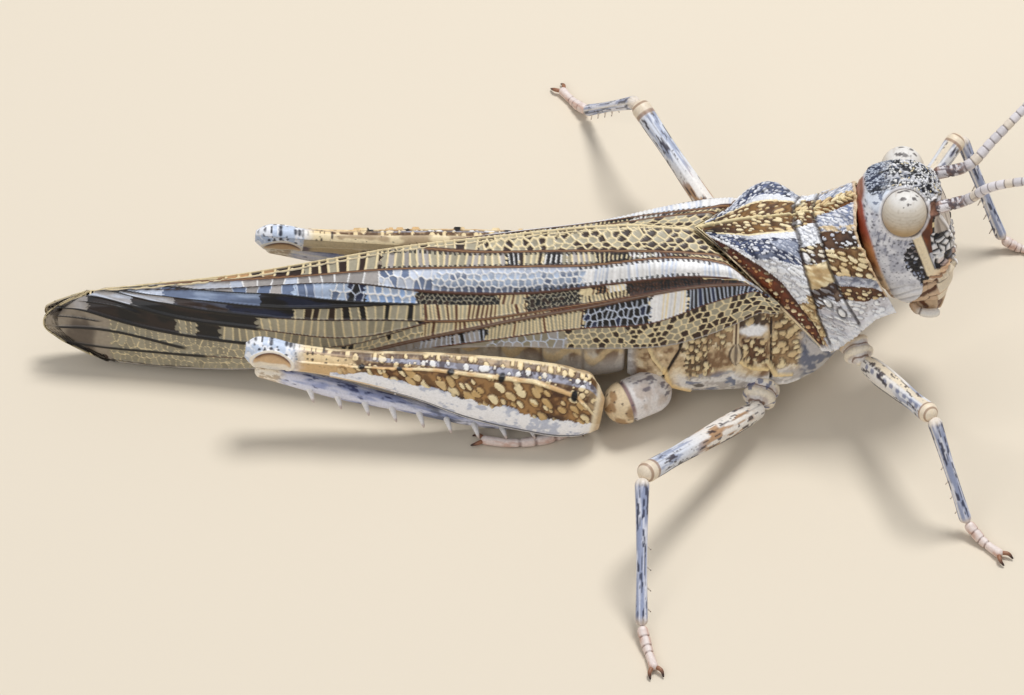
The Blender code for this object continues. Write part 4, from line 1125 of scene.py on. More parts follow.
# %% Eye globes
FLECKS = (
    (-0.1, 0.3, 0.95, 0.13), (0.35, 0.2, 0.9, 0.14), (0.15, 0.55, 0.8, 0.07), (-0.1, 0.65, 0.75, 0.06),
    (0.1, -0.3, 0.95, 0.20), (-0.2, -0.2, 0.95, 0.15), (0.55, -0.05, 0.85, 0.12),
)


def make_eye(side, sign):
    """A ball whose tint goes by height, with rings and a few flecks."""
    polar = np.linspace(0.02, pi - 0.02, 110)[:, None]
    turn = np.linspace(0, 2 * pi, 150, endpoint=False)[None, :]
    ball = np.stack(
        [np.sin(polar) * np.cos(turn), np.cos(polar) * np.ones_like(turn), np.sin(polar) * np.sin(turn)], -1
    )
    level = ball[..., 2] + 0.04 * (noise(ball[..., 0] * 4, ball[..., 1] * 4, 3.0) - 0.5)
    # paler towards the top: partly the eye's own colour, partly painted light from above
    tint = lay((176, 148, 108), (214, 204, 188), step(-0.55, 0.35, level))
    tint = lay(tint, (228, 224, 218), step(0.45, 0.9, level))
    rings = 0.5 + 0.5 * np.sin(level * 46 + 2.5 * noise(ball[..., 0] * 3, ball[..., 1] * 3, 2.0))
    tint = lay(tint, (158, 132, 98), step(0.6, 1.0, rings) * 0.16 * fade(0.35, 0.8, level))
    grainy = rough(ball[..., 0] * 9, ball[..., 2] * 9 + ball[..., 1] * 4, 64.0)
    tint = lay(tint, (150, 128, 102), step(0.55, 0.8, grainy) * 0.25)
    ragged = 0.16 * (noise(ball[..., 0] * 12, ball[..., 1] * 12, 4.0) - 0.5)
    for fx, fy, fz, size in FLECKS:
        middle = np.array((fx, sign * fy, fz)) / np.linalg.norm((fx, fy, fz))
        gap = np.linalg.norm((ball - middle) * (0.75, 1.25, 1.0), axis=-1) + ragged
        tint = lay(tint, (58, 48, 48), fade(size * 0.45, size, gap) * 0.85)
    grid = EYE_AT * (1, sign, 1) + ball * EYE_RADII
    made = tube(f"eye_globe_{side}", lean(grid), tint, EYE_FINISH)
    keep(made, f"eye_{side}")


EYE_FINISH = finish("wet_eye", roughness=0.50, grain=5000.0, depth=0.000002, mottle=0.04)
for side, sign in SIDES:
    make_eye(side, sign)

# %% [markdown]
# ## Rods
# Feelers, palps and legs are rods: rings square to a path, rounded at both ends. Each ring
# knows how far along the rod it is and which way it faces, and markings are told by that.

# %% A rod along a path
def rod(path, radii, rows, columns, flat=1.0, up=(0.0, 0.0, 1.0)):
    """Rings about an eased path; gives the grid, millimetres along and the angle from `up`."""
    path, radii = np.array(path, float), np.array(radii, float)
    reach = np.concatenate([[0], np.cumsum(np.linalg.norm(np.diff(path, axis=0), axis=1))])
    total = reach[-1]
    ends = 0.5 - 0.5 * np.cos(np.linspace(0, pi, rows))
    along = total * (0.25 * ends + 0.75 * np.linspace(0, 1, rows))
    centre = np.stack([smooth(reach, path[:, k], along) for k in range(3)], -1)
    heading = np.gradient(centre, axis=0)
    heading /= np.linalg.norm(heading, axis=-1, keepdims=True)
    across = np.cross(heading, np.array(up))
    across /= np.linalg.norm(across, axis=-1, keepdims=True)
    upward = np.cross(across, heading)
    radius = smooth(np.linspace(0, 1, len(radii)), radii, along / total)
    first, last = np.clip(along / radii[0], 0, 1), np.clip((total - along) / radii[-1], 0, 1)
    radius = radius * np.sqrt(1 - (1 - first) ** 2) * np.sqrt(1 - (1 - last) ** 2)
    radius = np.maximum(radius, 0.02)
    angle = np.linspace(-pi, pi, columns, endpoint=False)
    ring = (
        np.cos(angle)[None, :, None] * upward[:, None]
        + np.sin(angle)[None, :, None] * across[:, None] * flat
    )
    grid = centre[:, None] + ring * radius[:, None, None]
    return grid, along[:, None] * np.ones(columns), angle[None, :] * np.ones((rows, 1))


# %% [markdown]
# ## Feelers and mouth
# A feeler starts with two thick, dark mottled joints, then runs out in many short joints,
# each a little narrower at its ends.

# %% Feelers
ANTENNA_BASE = (39.95, 1.22, 11.0)
ANTENNAE = {
    -1: ((41.35, 1.25, 11.55), (42.25, 1.85, 12.75), (43.8, 2.45, 13.65), (48.3, 3.9, 14.2)),
    1: ((41.5, 1.25, 11.5), (42.6, 1.9, 12.45), (44.3, 3.0, 13.9), (48.0, 5.3, 17.0)),
}


def make_feeler(side, sign):
    """A rod in joints; the two at its base are dark and mottled."""
    path = np.array((ANTENNA_BASE, *ANTENNAE[sign])) * (1, sign, 1)
    grid, along, angle = rod(path, (0.30, 0.23, 0.20, 0.21, 0.20), 420, 28)
    joint = np.where(along < 1.5, along / 0.75, 2 + (along - 1.5) / 0.42)
    number, part = np.floor(joint), joint - np.floor(joint)
    groove = fade(0.0, 0.14, np.minimum(part, 1 - part))
    tone = share(number, number * 0 + 1, 60.0 + sign)[..., None]
    tint = paint(222, 216, 218) * (0.86 + 0.2 * tone)
    tint = lay(tint, (232, 212, 176), (share(number, number * 0, 61.0) > 0.7) * 0.5)
    blotch = rough(along * 7, angle * 2.2, 62.0)
    base = fade(1.1, 1.9, along)
    tint = lay(tint, (66, 50, 58), base * step(0.44, 0.54, blotch) * 0.9)
    tint = lay(tint, (150, 112, 92), base * step(0.56, 0.66, rough(along * 4, angle * 1.4, 62.5)) * 0.6)
    tint = lay(tint, (124, 104, 98), (1 - base) * step(0.60, 0.70, blotch) * (np.cos(angle) < 0.0) * 0.5)
    tint = lay(tint, (86, 70, 72), groove * 0.75)
    made = tube(f"feeler_{side}", lean(raised(grid, -0.035 * groove)), tint, HEAD_FINISH)
    keep(made, f"antenna_{side}")


for side, sign in SIDES:
    make_feeler(side, sign)

# %% Mouth and palps
MOUTH_LEVELS = (
    (4.48, 39.65, 40.45, 0.75), (4.72, 39.35, 40.65, 1.10),
    (5.20, 39.05, 40.80, 1.35), (6.20, 38.95, 40.85, 1.38),
)
PALP_PATH = ((39.2, 1.2, 5.5), (39.45, 1.5, 5.25), (39.9, 1.6, 5.15), (40.5, 1.5, 5.15))
mouth_grid, _, mouth_turn = stacked(MOUTH_LEVELS, 70, 150, 2.3, (2.6, 2.6))
crease = np.sin(mouth_turn * 7 + 2.5 * rough(mouth_grid[..., 2] * 3, mouth_turn * 2, 63.0))
mouth_tint = lay((198, 170, 138), (104, 68, 46), step(0.1, 0.8, crease))
mouth_tint = lay(mouth_tint, (232, 226, 220), step(4.75, 4.35, mouth_grid[..., 2]))
mouth_tint = lay(mouth_tint, (230, 218, 196), step(0.45, 0.25, np.abs(mouth_turn)) * 0.8)
mouth_height = -0.07 * step(0.0, 0.9, crease) * step(4.2, 4.8, mouth_grid[..., 2])
keep(
    tube("mouth_skin", lean(raised(mouth_grid, mouth_height)), mouth_tint, HEAD_FINISH), "mouthparts",
)
for side, sign in SIDES:
    grid, along, _ = rod(np.array(PALP_PATH) * (1, sign, 1), (0.22, 0.19, 0.21, 0.2), 60, 24)
    groove = fade(0.0, 0.07, np.abs(along - 0.62))
    tint = lay((196, 166, 134), (234, 228, 218), step(0.35, 0.7, along))
    tint = lay(tint, (90, 60, 44), groove * 0.8)
    keep(
        tube(f"palp_skin_{side}", lean(raised(grid, -0.04 * groove)), tint, HEAD_FINISH), f"palp_{side}",
    )

# %% [markdown]
# ## Trunk and belly
# Under the wings the body is a row of plates parted by dark seams. Brown plates carry cream
# grains, the underside is pale, and cream ridges run along the lower rims of the plates.

# %% Upright ovals along the body
THORAX = (
    (26.35, 1.00, 5.6, 2.2), (27.1, 0.70, 6.7, 2.75), (28.6, 0.55, 7.5, 3.12),
    (30.4, 0.55, 7.9, 3.15), (32.2, 0.60, 8.2, 2.98), (34.0, 0.85, 8.4, 2.70),
    (35.4, 1.80, 8.8, 2.35), (36.3, 3.40, 9.0, 2.00), (36.75, 4.70, 8.8, 1.5),
)
ABDOMEN = (
    (12.2, 2.20, 3.2, 0.30), (13.2, 1.90, 3.7, 0.62), (15.0, 1.60, 4.3, 0.95),
    (17.5, 1.25, 5.0, 1.30), (20.0, 1.05, 5.6, 1.65), (22.5, 0.95, 5.9, 2.10),
    (24.6, 0.95, 6.0, 2.35), (26.2, 1.15, 5.9, 2.20),
)
SPREAD = 0.22
OVAL_POWER = 2.7


def ovals(table, rows, columns):
    """Upright superellipses eased along X; the underside is wider than the back by SPREAD."""
    table = np.array(table)
    x = np.linspace(table[0, 0], table[-1, 0], rows)[:, None]
    low, top, half = (smooth(table[:, 0], table[:, k], x) for k in (1, 2, 3))
    turn = np.linspace(-pi, pi, columns, endpoint=False)[None, :]
    reach = (np.abs(np.cos(turn)) ** OVAL_POWER + np.abs(np.sin(turn)) ** OVAL_POWER) ** (-1 / OVAL_POWER)
    upward = reach * np.cos(turn)
    grid = np.stack(
        [
            x + 0 * turn, half * reach * np.sin(turn) * (1 - SPREAD * upward),
            (low + top) / 2 + (top - low) / 2 * upward
        ],
        -1
    )
    return grid, turn + 0 * x


# %% Seams and ridges of the flank: path, half width, colour, rise
HIND_SEAM = ((27.5, 1.2), (28.0, 2.4), (28.7, 4.0), (28.9, 5.4))
SEAMS = (
    (HIND_SEAM, 0.09, (40, 28, 22), -0.10),
    (((32.9, 2.2), (32.8, 5.6)), 0.06, (44, 30, 28), -0.08),
    (((28.0, 2.9), (28.3, 1.9), (29.2, 1.5)), 0.17, (240, 208, 150), 0.12),
    (((27.2, 4.2), (27.5, 3.4), (27.9, 2.9)), 0.13, (238, 212, 160), 0.10),
    (((31.5, 3.4), (32.0, 3.0), (32.7, 2.9)), 0.13, (240, 212, 156), 0.10),
    (((32.8, 3.2), (33.1, 2.5), (33.8, 2.4)), 0.16, (242, 216, 164), 0.12),
    (((31.2, 2.5), (32.0, 2.1), (32.7, 2.2)), 0.11, (242, 238, 234), 0.09),
    (((33.0, 1.9), (33.6, 1.7), (34.2, 1.9)), 0.13, (242, 238, 234), 0.09),
)
# from X, to X, from Z, to Z, ground, stretch of the bumps, share left bare
BUMPY_PLATES = (
    (28.9, 30.1, 2.3, 5.8, (84, 62, 42), 1.0, 0.0), (30.0, 31.0, 4.3, 5.8, (150, 120, 88), 1.2, 0.35),
    (31.5, 32.7, 3.2, 4.6, (92, 58, 34), 1.2, 0.0), (31.3, 32.7, 5.2, 6.2, (70, 54, 44), 1.0, 0.2),
    (32.9, 34.4, 2.9, 5.8, (126, 94, 60), 1.7, 0.0),
)


# %% The trunk's skin
def trunk_markings(grid, turn):
    """Mottled plates with bumpy fields, a pale underside, a breathing slit and the dark seams."""
    x, z = grid[..., 0], grid[..., 2]
    side_mm = turn * 3.0
    flat = np.stack([x, z], -1)
    cloud, fine = rough(x * 1.5, side_mm * 1.5, 70.0), rough(x * 4.2, side_mm * 4.2, 70.5)
    mixed = 0.5 * cloud + 0.5 * fine
    tint = lay((206, 180, 142), (120, 88, 60), step(0.46, 0.62, mixed) * 0.9)
    tint = lay(tint, (238, 222, 190), step(0.44, 0.34, mixed) * 0.8)
    height = 0.05 * (mixed - 0.5)
    ragged = 0.7 * (fine - 0.5)
    behind_seam = x < np.interp(z, [p[1] for p in HIND_SEAM], [p[0] for p in HIND_SEAM])
    for from_x, to_x, from_z, to_z, ground, stretch, bare in BUMPY_PLATES:
        where = (
            (x + ragged > from_x) & (x + ragged < to_x) & (z + ragged > from_z) & (z < to_z) & ~behind_seam
        )
        dome, moat, own = beads(x, side_mm, 0.25, 0.10, 71.0 + from_x, 0.9, stretch)
        dome, moat = dome * (own >= bare), moat * (own >= bare)
        tint = lay(tint, lay(ground, (176, 144, 104), step(0.5, 0.35, mixed)), where * 0.9)
        # painted shade: the moat round each bead is darkened; painted highlight: the bead colour turns to
        # cream towards each dome's top
        tint = lay(tint, (44, 30, 22), where * moat * 0.55)
        tint = lay(tint, lay((216, 188, 142), CREAM, step(0.2, 0.8, own) * dome), where * dome)
        height += where * dome * 0.09
    # the pale underside with cold strokes, and the grey front corner
    pale = (
        step(2.9, 2.3, z + 0.5 * (mixed - 0.5) + 0.2 * np.sin(x * 2.2)) * step(28.2, 28.9, x)
        + step(26.9, 26.4, x)
    )
    tint = lay(tint, lay((232, 228, 224), (196, 190, 186), step(0.45, 0.6, fine)), pale)
    strokes = step(0.52, 0.62, rough(x * 0.9 + z * 1.3, (z - x * 0.5) * 3.6, 72.0))
    tint = lay(tint, (112, 122, 148), strokes * pale * (x > 29.0) * (x < 31.3) * 0.9)
    grey = step(34.1, 34.4, x - 0.4 * (cloud - 0.5)) * (z < 4.8) * (z > 1.9)
    tint = lay(tint, (196, 194, 196), grey * 0.9)
    tint = lay(
        tint, (84, 94, 120),
        grey * step(0.48, 0.60, rough(x * 2.2 + z * 2.2, z * 1.0 - x * 1.6, 73.0)) * 0.85
    )
    tint = lay(tint, (58, 46, 42), spot(x + ragged * 0.4, z, 29.6, 1.9, 0.30, 0.22) * 0.85)
    tint = lay(tint, (248, 248, 250), spot(x, z + ragged * 0.45, 32.0, 5.0, 0.80, 0.36))
    # breathing slit: an almond with a dark line above it
    lens = np.abs(x - 31.25) / np.maximum(0.30 * (1 - ((z - 3.8) / 0.62) ** 2), 0.0001)
    above = (np.abs(x - 31.22) < 0.13) & (z > 4.3) & (z < 5.6)
    tint = lay(tint, (226, 206, 170), above * 1.0)
    tint = lay(tint, (96, 70, 54), (np.abs(x - 31.22) < 0.05) & (z > 4.3) & (z < 5.6))
    tint = lay(tint, (218, 198, 166), fade(0.95, 1.1, lens))
    tint = lay(tint, (66, 48, 38), fade(0.10, 0.25, np.abs(lens - 0.95)) * 0.9)
    tint = lay(tint, (110, 96, 84), fade(0.18, 0.40, lens) * 0.9)
    height += 0.08 * fade(0.1, 0.3, np.abs(lens - 0.7)) * (lens < 1.3)
    for path, half, colour, rise in SEAMS:
        gap, _ = near(flat, path)
        line = fade(half * 0.5, half, gap + 0.10 * (fine - 0.5))
        tint, height = lay(tint, colour, line), height + rise * line
    return tint, height


BODY_FINISH = finish("body_plates", roughness=0.5, grain=9000.0, depth=0.000012, mottle=0.10)
trunk_grid, trunk_turn = ovals(THORAX, 230, 360)
trunk_tint, trunk_height = trunk_markings(trunk_grid, trunk_turn)
trunk = tube("trunk_skin", lean(raised(trunk_grid, trunk_height)), trunk_tint, BODY_FINISH)
keep(trunk, "thorax")

# %% The belly and its rings
RING_LENGTH = 1.9


def belly_markings(grid, turn):
    """Rings RING_LENGTH long; a groove closes each, a pale line runs along the side."""
    x = grid[..., 0]
    ring = (26.2 - x) / RING_LENGTH
    part = ring - np.floor(ring)
    groove = fade(0.0, 0.08, np.minimum(part, 1 - part))
    cloud, fine = rough(x * 1.8, turn * 2.2, 74.0), rough(x * 5, turn * 9, 74.5)
    low = step(-0.1, -0.6, np.cos(turn))
    tint = lay((206, 190, 168), (136, 108, 84), step(0.45, 0.62, cloud) * (1 - 0.6 * low))
    tint = lay(tint, (236, 226, 208), step(0.48, 0.36, 0.5 * cloud + 0.5 * fine) * 0.7)
    tint = lay(tint, (226, 222, 216), low * 0.7)
    tint = lay(tint, (110, 84, 66), groove * 0.5)
    stripe = fade(0.05, 0.14, np.abs(np.abs(turn) - 1.75 + 0.14 * np.sin(ring * 2 * pi) + 0.1 * (fine - 0.5)))
    tint = lay(tint, (236, 208, 158), stripe * 0.8 * (1 - groove))
    return tint, 0.05 * np.sin(pi * part) - 0.05 * groove + 0.05 * stripe + 0.04 * (fine - 0.5)


belly_grid, belly_turn = ovals(ABDOMEN, 240, 260)
belly_tint, belly_height = belly_markings(belly_grid, belly_turn)
keep(tube("belly_skin", lean(raised(belly_grid, belly_height)), belly_tint, BODY_FINISH), "abdomen")

# %% [markdown]
# ## Legs
# Each leg is built from rods and stands on the floor, outside the trunk's lean. Thighs and
# shins are waxy white with blue-grey and brown streaks that run lengthways. Shins carry
# spines, and each foot has three short joints, a long last one and two claws.

# %% Thorns, mirrored points and the waxy finish
def thorn(root, tip, thick, colour, dark):
    """Short pointed rod, darker at its end."""
    middle = (np.array(root) + np.array(tip)) / 2 + (0, 0, 0.03)
    grid, along, _ = rod((root, middle, tip), (thick, thick * 0.72, thick * 0.3), 9, 10)
    return grid, lay(colour, dark, step(0.72, 0.95, along / along.max()))


def mirrored(points, sign):
    """Points of the left side, or with sign -1 the same on the right."""
    return np.array(points, float) * (1, sign, 1)


LEG_FINISH = finish("waxy_leg", roughness=0.45, grain=10000.0, depth=0.000008, mottle=0.07)

# %% Hips
COXAE = {
    "fore": ((36.3, 1.80, 4.20), (37.15, 2.95, 3.60), 0.66),
    "mid": ((32.5, 2.40, 1.95), (32.45, 4.00, 1.55), 0.78),
    "hind": ((28.3, 2.95, 1.95), (25.35, 4.30, 1.52), 1.0),
}


def make_hip(which, side, sign):
    """Short thick rod: folded rings in front, on the hind leg a round disc with dark dots."""
    root, stop, radius = COXAE[which]
    grid, along, angle = rod((mirrored(root, sign), mirrored(stop, sign)), (radius, radius), 90, 96)
    total = along.max()
    cloud = rough(along * 2.5, angle * 1.6, 80.0)
    tint = lay((228, 222, 218), (182, 160, 140), step(0.45, 0.75, cloud) * 0.6)
    height = np.zeros(along.shape)
    if which == "hind":
        disc = step(total * 0.66, total * 0.70, along)
        tint = lay(tint, lay((222, 200, 164), (168, 136, 100), step(0.45, 0.62, cloud)), disc)
        tint = lay(tint, (62, 40, 34), disc * grains(along, angle * radius, 0.55, 0.07, 81.5, 0.9) * 0.9)
        rim = fade(0.04, 0.13, np.abs(along - total * 0.66))
        tint = lay(tint, (128, 92, 92), rim * 0.85)
        height -= 0.09 * rim
        tint = lay(tint, (238, 236, 240), (1 - disc) * step(1.2, 1.9, np.abs(angle)) * 0.8)
        tint = lay(
            tint, (96, 88, 100), (1 - disc) * step(0.62, 0.68, rough(along * 2.2, angle * 4, 81.0)) * 0.8
        )
    else:
        folds = np.sin(along * (9 if which == "mid" else 10) + 1.6 * np.sin(angle) + 2.0 * (cloud - 0.5))
        tint = lay(tint, (242, 230, 206), step(0.3, -0.6, folds) * 0.8)
        tint = lay(tint, (112, 80, 62), step(0.86, 1.0, folds) * 0.85)
        tint = lay(
            tint, (86, 96, 130),
            step(0.60, 0.66, rough(along * 3.0, angle * 3.0, 81.2)) * (which == "mid") * 0.8
        )
        tint = lay(tint, (226, 190, 140), step(0.5, 0.2, along / total) * (which == "fore") * 0.8)
        height -= 0.07 * folds
    made = tube(f"{which}_hip_{side}", raised(grid, height), tint, BODY_FINISH)
    keep(made, f"{which}_coxa_{side}")


for side, sign in SIDES:
    for which in COXAE:
        make_hip(which, side, sign)

# %% Fore and middle legs
WALKERS = {
    ("mid", "right"): ((27.05, -11.5, 5.15), (27.15, -16.35, 0.55), (27.75, -18.55, 0.25)),
    ("mid", "left"): ((26.6, 12.2, 5.2), (24.2, 16.4, 0.55), (22.9, 18.2, 0.25)),
    ("fore", "right"): ((39.95, -7.95, 5.5), (41.7, -9.95, 0.66), (43.25, -11.5, 0.25)),
    ("fore", "left"): ((41.7, 9.3, 6.2), (44.0, 8.05, 0.66), (45.6, 7.75, 0.25)),
}
THIGH_RADII = (0.42, 0.50, 0.46, 0.40, 0.50)
SHIN_RADII = (0.34, 0.27, 0.25, 0.29)


def thigh_tint(which, along, angle):
    """White thigh with streaks and dark dashes along it, and two dark lines on each side."""
    t = along / along.max()
    streak = rough(along * 0.9, angle * 2.8, 82.0)
    dashes = rough(along * 1.9, angle * 4.4, 83.0)
    middle = which == "mid"
    tint = lay((240, 234, 226), (212, 220, 236), step(0.45, 0.75, t) * (0.8 if middle else 0.5))
    tint = lay(
        tint, (176, 132, 88),
        step(0.52, 0.62, streak) * step(0.08, 0.2, t) * fade(0.5, 0.7, t) * (0.9 if middle else 0.0)
    )
    tint = lay(tint, (134, 146, 176), step(0.52, 0.60, streak) * step(0.5, 0.65, t) * 0.7)
    if not middle:
        tint = lay(tint, (236, 218, 186), line_at(angle, 0.0, 0.45) * 0.8)
        tint = lay(
            tint, (112, 120, 152),
            spot((t * 11) % 1.0, angle, 0.5, 0.9, 0.36, 0.30) * (t > 0.12) * (t < 0.9) * 0.8
        )
    tint = lay(tint, (50, 42, 52), step(0.60, 0.65, dashes) * fade(0.90, 0.96, t) * 0.9)
    lower = line_at(np.abs(angle), 2.15, 0.16)
    upper = line_at(np.abs(angle), 0.45, 0.07)
    tint = lay(tint, (34, 28, 34), lower * step(0.36, 0.46, rough(along * 0.8, angle * 0, 82.5)) * 0.9)
    tint = lay(tint, (70, 54, 50), upper * step(0.40, 0.5, streak) * 0.85)
    knee = step(0.90, 0.94, t + 0.03 * (dashes - 0.5))
    tint = lay(tint, (236, 218, 190), knee * 0.9)
    return lay(tint, (140, 100, 74), (line_at(t, 0.925, 0.010) + line_at(t, 0.975, 0.008)) * 0.7)


def shin_tint(along, angle):
    """Blue-grey shin: streaks along it, a dark and a pale line on each side, pale ends."""
    t = along / along.max()
    streak = rough(along * 0.8, angle * 2.6, 84.0)
    tint = lay((222, 224, 236), (134, 146, 180), step(0.38, 0.60, streak) * 0.85)
    tint = lay(tint, (46, 50, 74), step(0.57, 0.64, rough(along * 1.5, angle * 3.6, 85.0)) * 0.9)
    tint = lay(tint, (38, 36, 52), line_at(np.abs(angle), 1.9, 0.12) * step(0.34, 0.44, streak) * 0.85)
    tint = lay(tint, (240, 234, 226), line_at(np.abs(angle), 1.35, 0.16) * 0.8)
    tint = lay(tint, (238, 224, 204), fade(0.02, 0.07, t) * 0.8)
    return lay(tint, (224, 206, 188), step(0.92, 0.98, t) * 0.7)


def make_foot(node, path):
    """Three short joints and a long one, painted paler on top and darker underneath as if lit from above,
    with two spread claws.
    """
    path = np.array(path, float)
    path[1:, 2] = 0.23
    grid, along, angle = rod(path, (0.25, 0.25, 0.20, 0.23), 130, 30)
    t = along / along.max()
    joints = sum(fade(0.0, 0.03, np.abs(t - at)) for at in (0.24, 0.44, 0.60))
    cloud = rough(along * 3, angle * 1.5, 86.0)
    tint = lay((226, 206, 196), (196, 150, 128), step(0.4, 0.75, cloud) * 0.7)
    tint = lay(tint, (120, 88, 80), joints * 0.7)
    # painted light and shade: a paler band along the top, and darker underneath
    tint = lay(tint, (238, 230, 226), line_at(np.abs(angle), 0, 0.7) * 0.5)
    under = step(2.0, 2.6, np.abs(angle))
    tint = lay(tint, (150, 122, 110), under * 0.7)
    grid = raised(grid, -0.05 * joints)
    grid[..., 2] = np.maximum(grid[..., 2], 0.0)
    heading = path[-1] - path[-2]
    heading[2] = 0
    heading /= np.linalg.norm(heading)
    across = np.array([-heading[1], heading[0], 0.0])
    parts = [(grid, tint)]
    for k in (-1, 1):
        base = path[-1] - heading * 0.12 + across * 0.09 * k + (0, 0, 0.02)
        tip = path[-1] + heading * 0.42 + across * 0.30 * k
        tip[2] = 0.10
        middle = (base + tip) / 2 + across * 0.08 * k + (0, 0, 0.06)
        claw, reach, _ = rod((base, middle, tip), (0.10, 0.09, 0.035), 20, 12)
        shade = lay((150, 104, 78), (54, 34, 28), step(0.35, 0.9, reach / reach.max()))
        parts.append((claw, shade))
    keep(bundle(f"{node}_skin", parts, LEG_FINISH), node)


def make_walker(which, side):
    """Thigh, shin with four pairs of thorns, and foot of a fore or middle leg."""
    sign = dict(SIDES)[side]
    knee, ankle, toe = (np.array(p, float) for p in WALKERS[which, side])
    hip = mirrored(COXAE[which][1], sign)
    grid, along, angle = rod((hip, knee), THIGH_RADII, 190, 48)
    t = along / along.max()
    ridge = (
        sum(np.exp(-(((np.abs(angle) - at) / 0.12) ** 2)) for at in (0.7, 2.2)) * step(0.06, 0.15, t)
        * fade(0.84, 0.94, t)
    )
    tint = thigh_tint(which, along, angle)
    keep(
        tube(f"{which}_thigh_{side}", raised(grid, 0.035 * ridge), tint, LEG_FINISH),
        f"{which}_femur_{side}"
    )
    start = knee + (ankle - knee) * 0.02
    grid, along, angle = rod((start, ankle), SHIN_RADII, 170, 36)
    parts = [(grid, shin_tint(along, angle))]
    way = (ankle - start) / np.linalg.norm(ankle - start)
    outwards = np.cross(way, np.cross((ankle - hip) * (1, 1, 0), way))
    outwards /= np.linalg.norm(outwards)
    aside = np.cross(way, outwards)
    for n in range(4):
        for k in (-1, 1):
            root = start + (ankle - start) * (0.45 + 0.14 * n) - outwards * 0.12 + aside * 0.10 * k
            tip = root - outwards * 0.30 + aside * 0.12 * k + way * 0.24
            tip[2] = max(tip[2], 0.05)
            parts.append(thorn(root, tip, 0.055, (226, 214, 200), (70, 48, 40)))
    keep(bundle(f"{which}_shin_{side}", parts, LEG_FINISH), f"{which}_tibia_{side}")
    make_foot(f"{which}_tarsus_{side}", (ankle, (ankle + toe) / 2, toe))


for which, side in WALKERS:
    make_walker(which, side)

# %% [markdown]
# ## Jumping legs
# The hind thigh is a tall flat club. A keel with black spots parts its outer face; above it
# runs a grainy border, below it a brown field of slanted cream scales, and lowest a white
# band. The knee is a white cap with dark spots and an arched slot under it.

# %% The club-shaped thigh
HIND_HIP = (25.05, 4.50, 2.05)
HIND_KNEES = {-1: (9.85, 3.85, 4.42), 1: (9.85, 3.72, 4.22)}
HIND_TILT = radians(14.0)
THIGH_LENGTH = 15.4
HIND_THIGH = (
    (-0.055, 0.34, 0.22, 0.0), (-0.035, 0.62, 0.42, 0.0), (0.01, 0.74, 0.52, 0.0), (0.07, 0.66, 0.48, 0.0),
    (0.16, 0.64, 0.46, -0.02), (0.30, 0.79, 0.55, -0.07), (0.46, 1.15, 0.70, -0.09), (0.63, 1.60, 0.86, 0.06),
    (0.79, 1.78, 0.95, 0.09), (0.91, 1.74, 0.94, 0.10), (0.975, 1.44, 0.80, 0.12), (1.012, 0.80, 0.42, 0.40),
)
KEEL_SPOTS = (0.29, 0.40, 0.55, 0.70, 0.92)
KEEL_AT = (0.0, 0.3, 0.5, 0.8, 0.93, 1.0)
KEEL_HEIGHT = (0.05, 0.45, 0.65, 0.70, 0.52, 0.0)
WHITE_AT = (0.12, 0.2, 0.3, 0.5, 1.0)
WHITE_HEIGHT = (-0.9, -0.4, 0.1, -0.05, -0.3)
LOW_LINES = ((-0.82, (70, 74, 88)), (-0.90, (232, 230, 228)), (-0.975, (60, 60, 72)))


def hind_thigh(sign, rows, columns):
    """Ovals from knee to hip, tilted outwards; gives share along, height share and outer side."""
    knee, hip = mirrored(HIND_KNEES[sign], sign), mirrored(HIND_HIP, sign)
    axis = hip - knee
    along = axis / np.linalg.norm(axis)
    upward = np.array([0, -sign * sin(HIND_TILT), cos(HIND_TILT)])
    upward -= along * upward.dot(along)
    upward /= np.linalg.norm(upward)
    across = np.cross(upward, along)
    across *= np.sign(across[1]) * sign
    table = np.array(HIND_THIGH)
    even = np.linspace(0, 1, rows)
    ends = 0.5 - 0.5 * np.cos(pi * even)
    t = table[0, 0] + (table[-1, 0] - table[0, 0]) * (0.12 * ends + 0.88 * even)
    tall, thick, drop = (smooth(table[:, 0], table[:, k], t)[:, None, None] for k in (1, 2, 3))
    turn = np.linspace(-pi, pi, columns, endpoint=False)
    h, o = np.sin(turn)[None, :, None], np.cos(turn)[None, :, None]
    grid = knee + axis * t[:, None, None] + upward * (tall * h - drop) + across * thick * o
    shape = grid.shape[:2]
    return grid, *(v * np.ones(shape) for v in (t[:, None], h[..., 0], o[..., 0], tall[..., 0]))


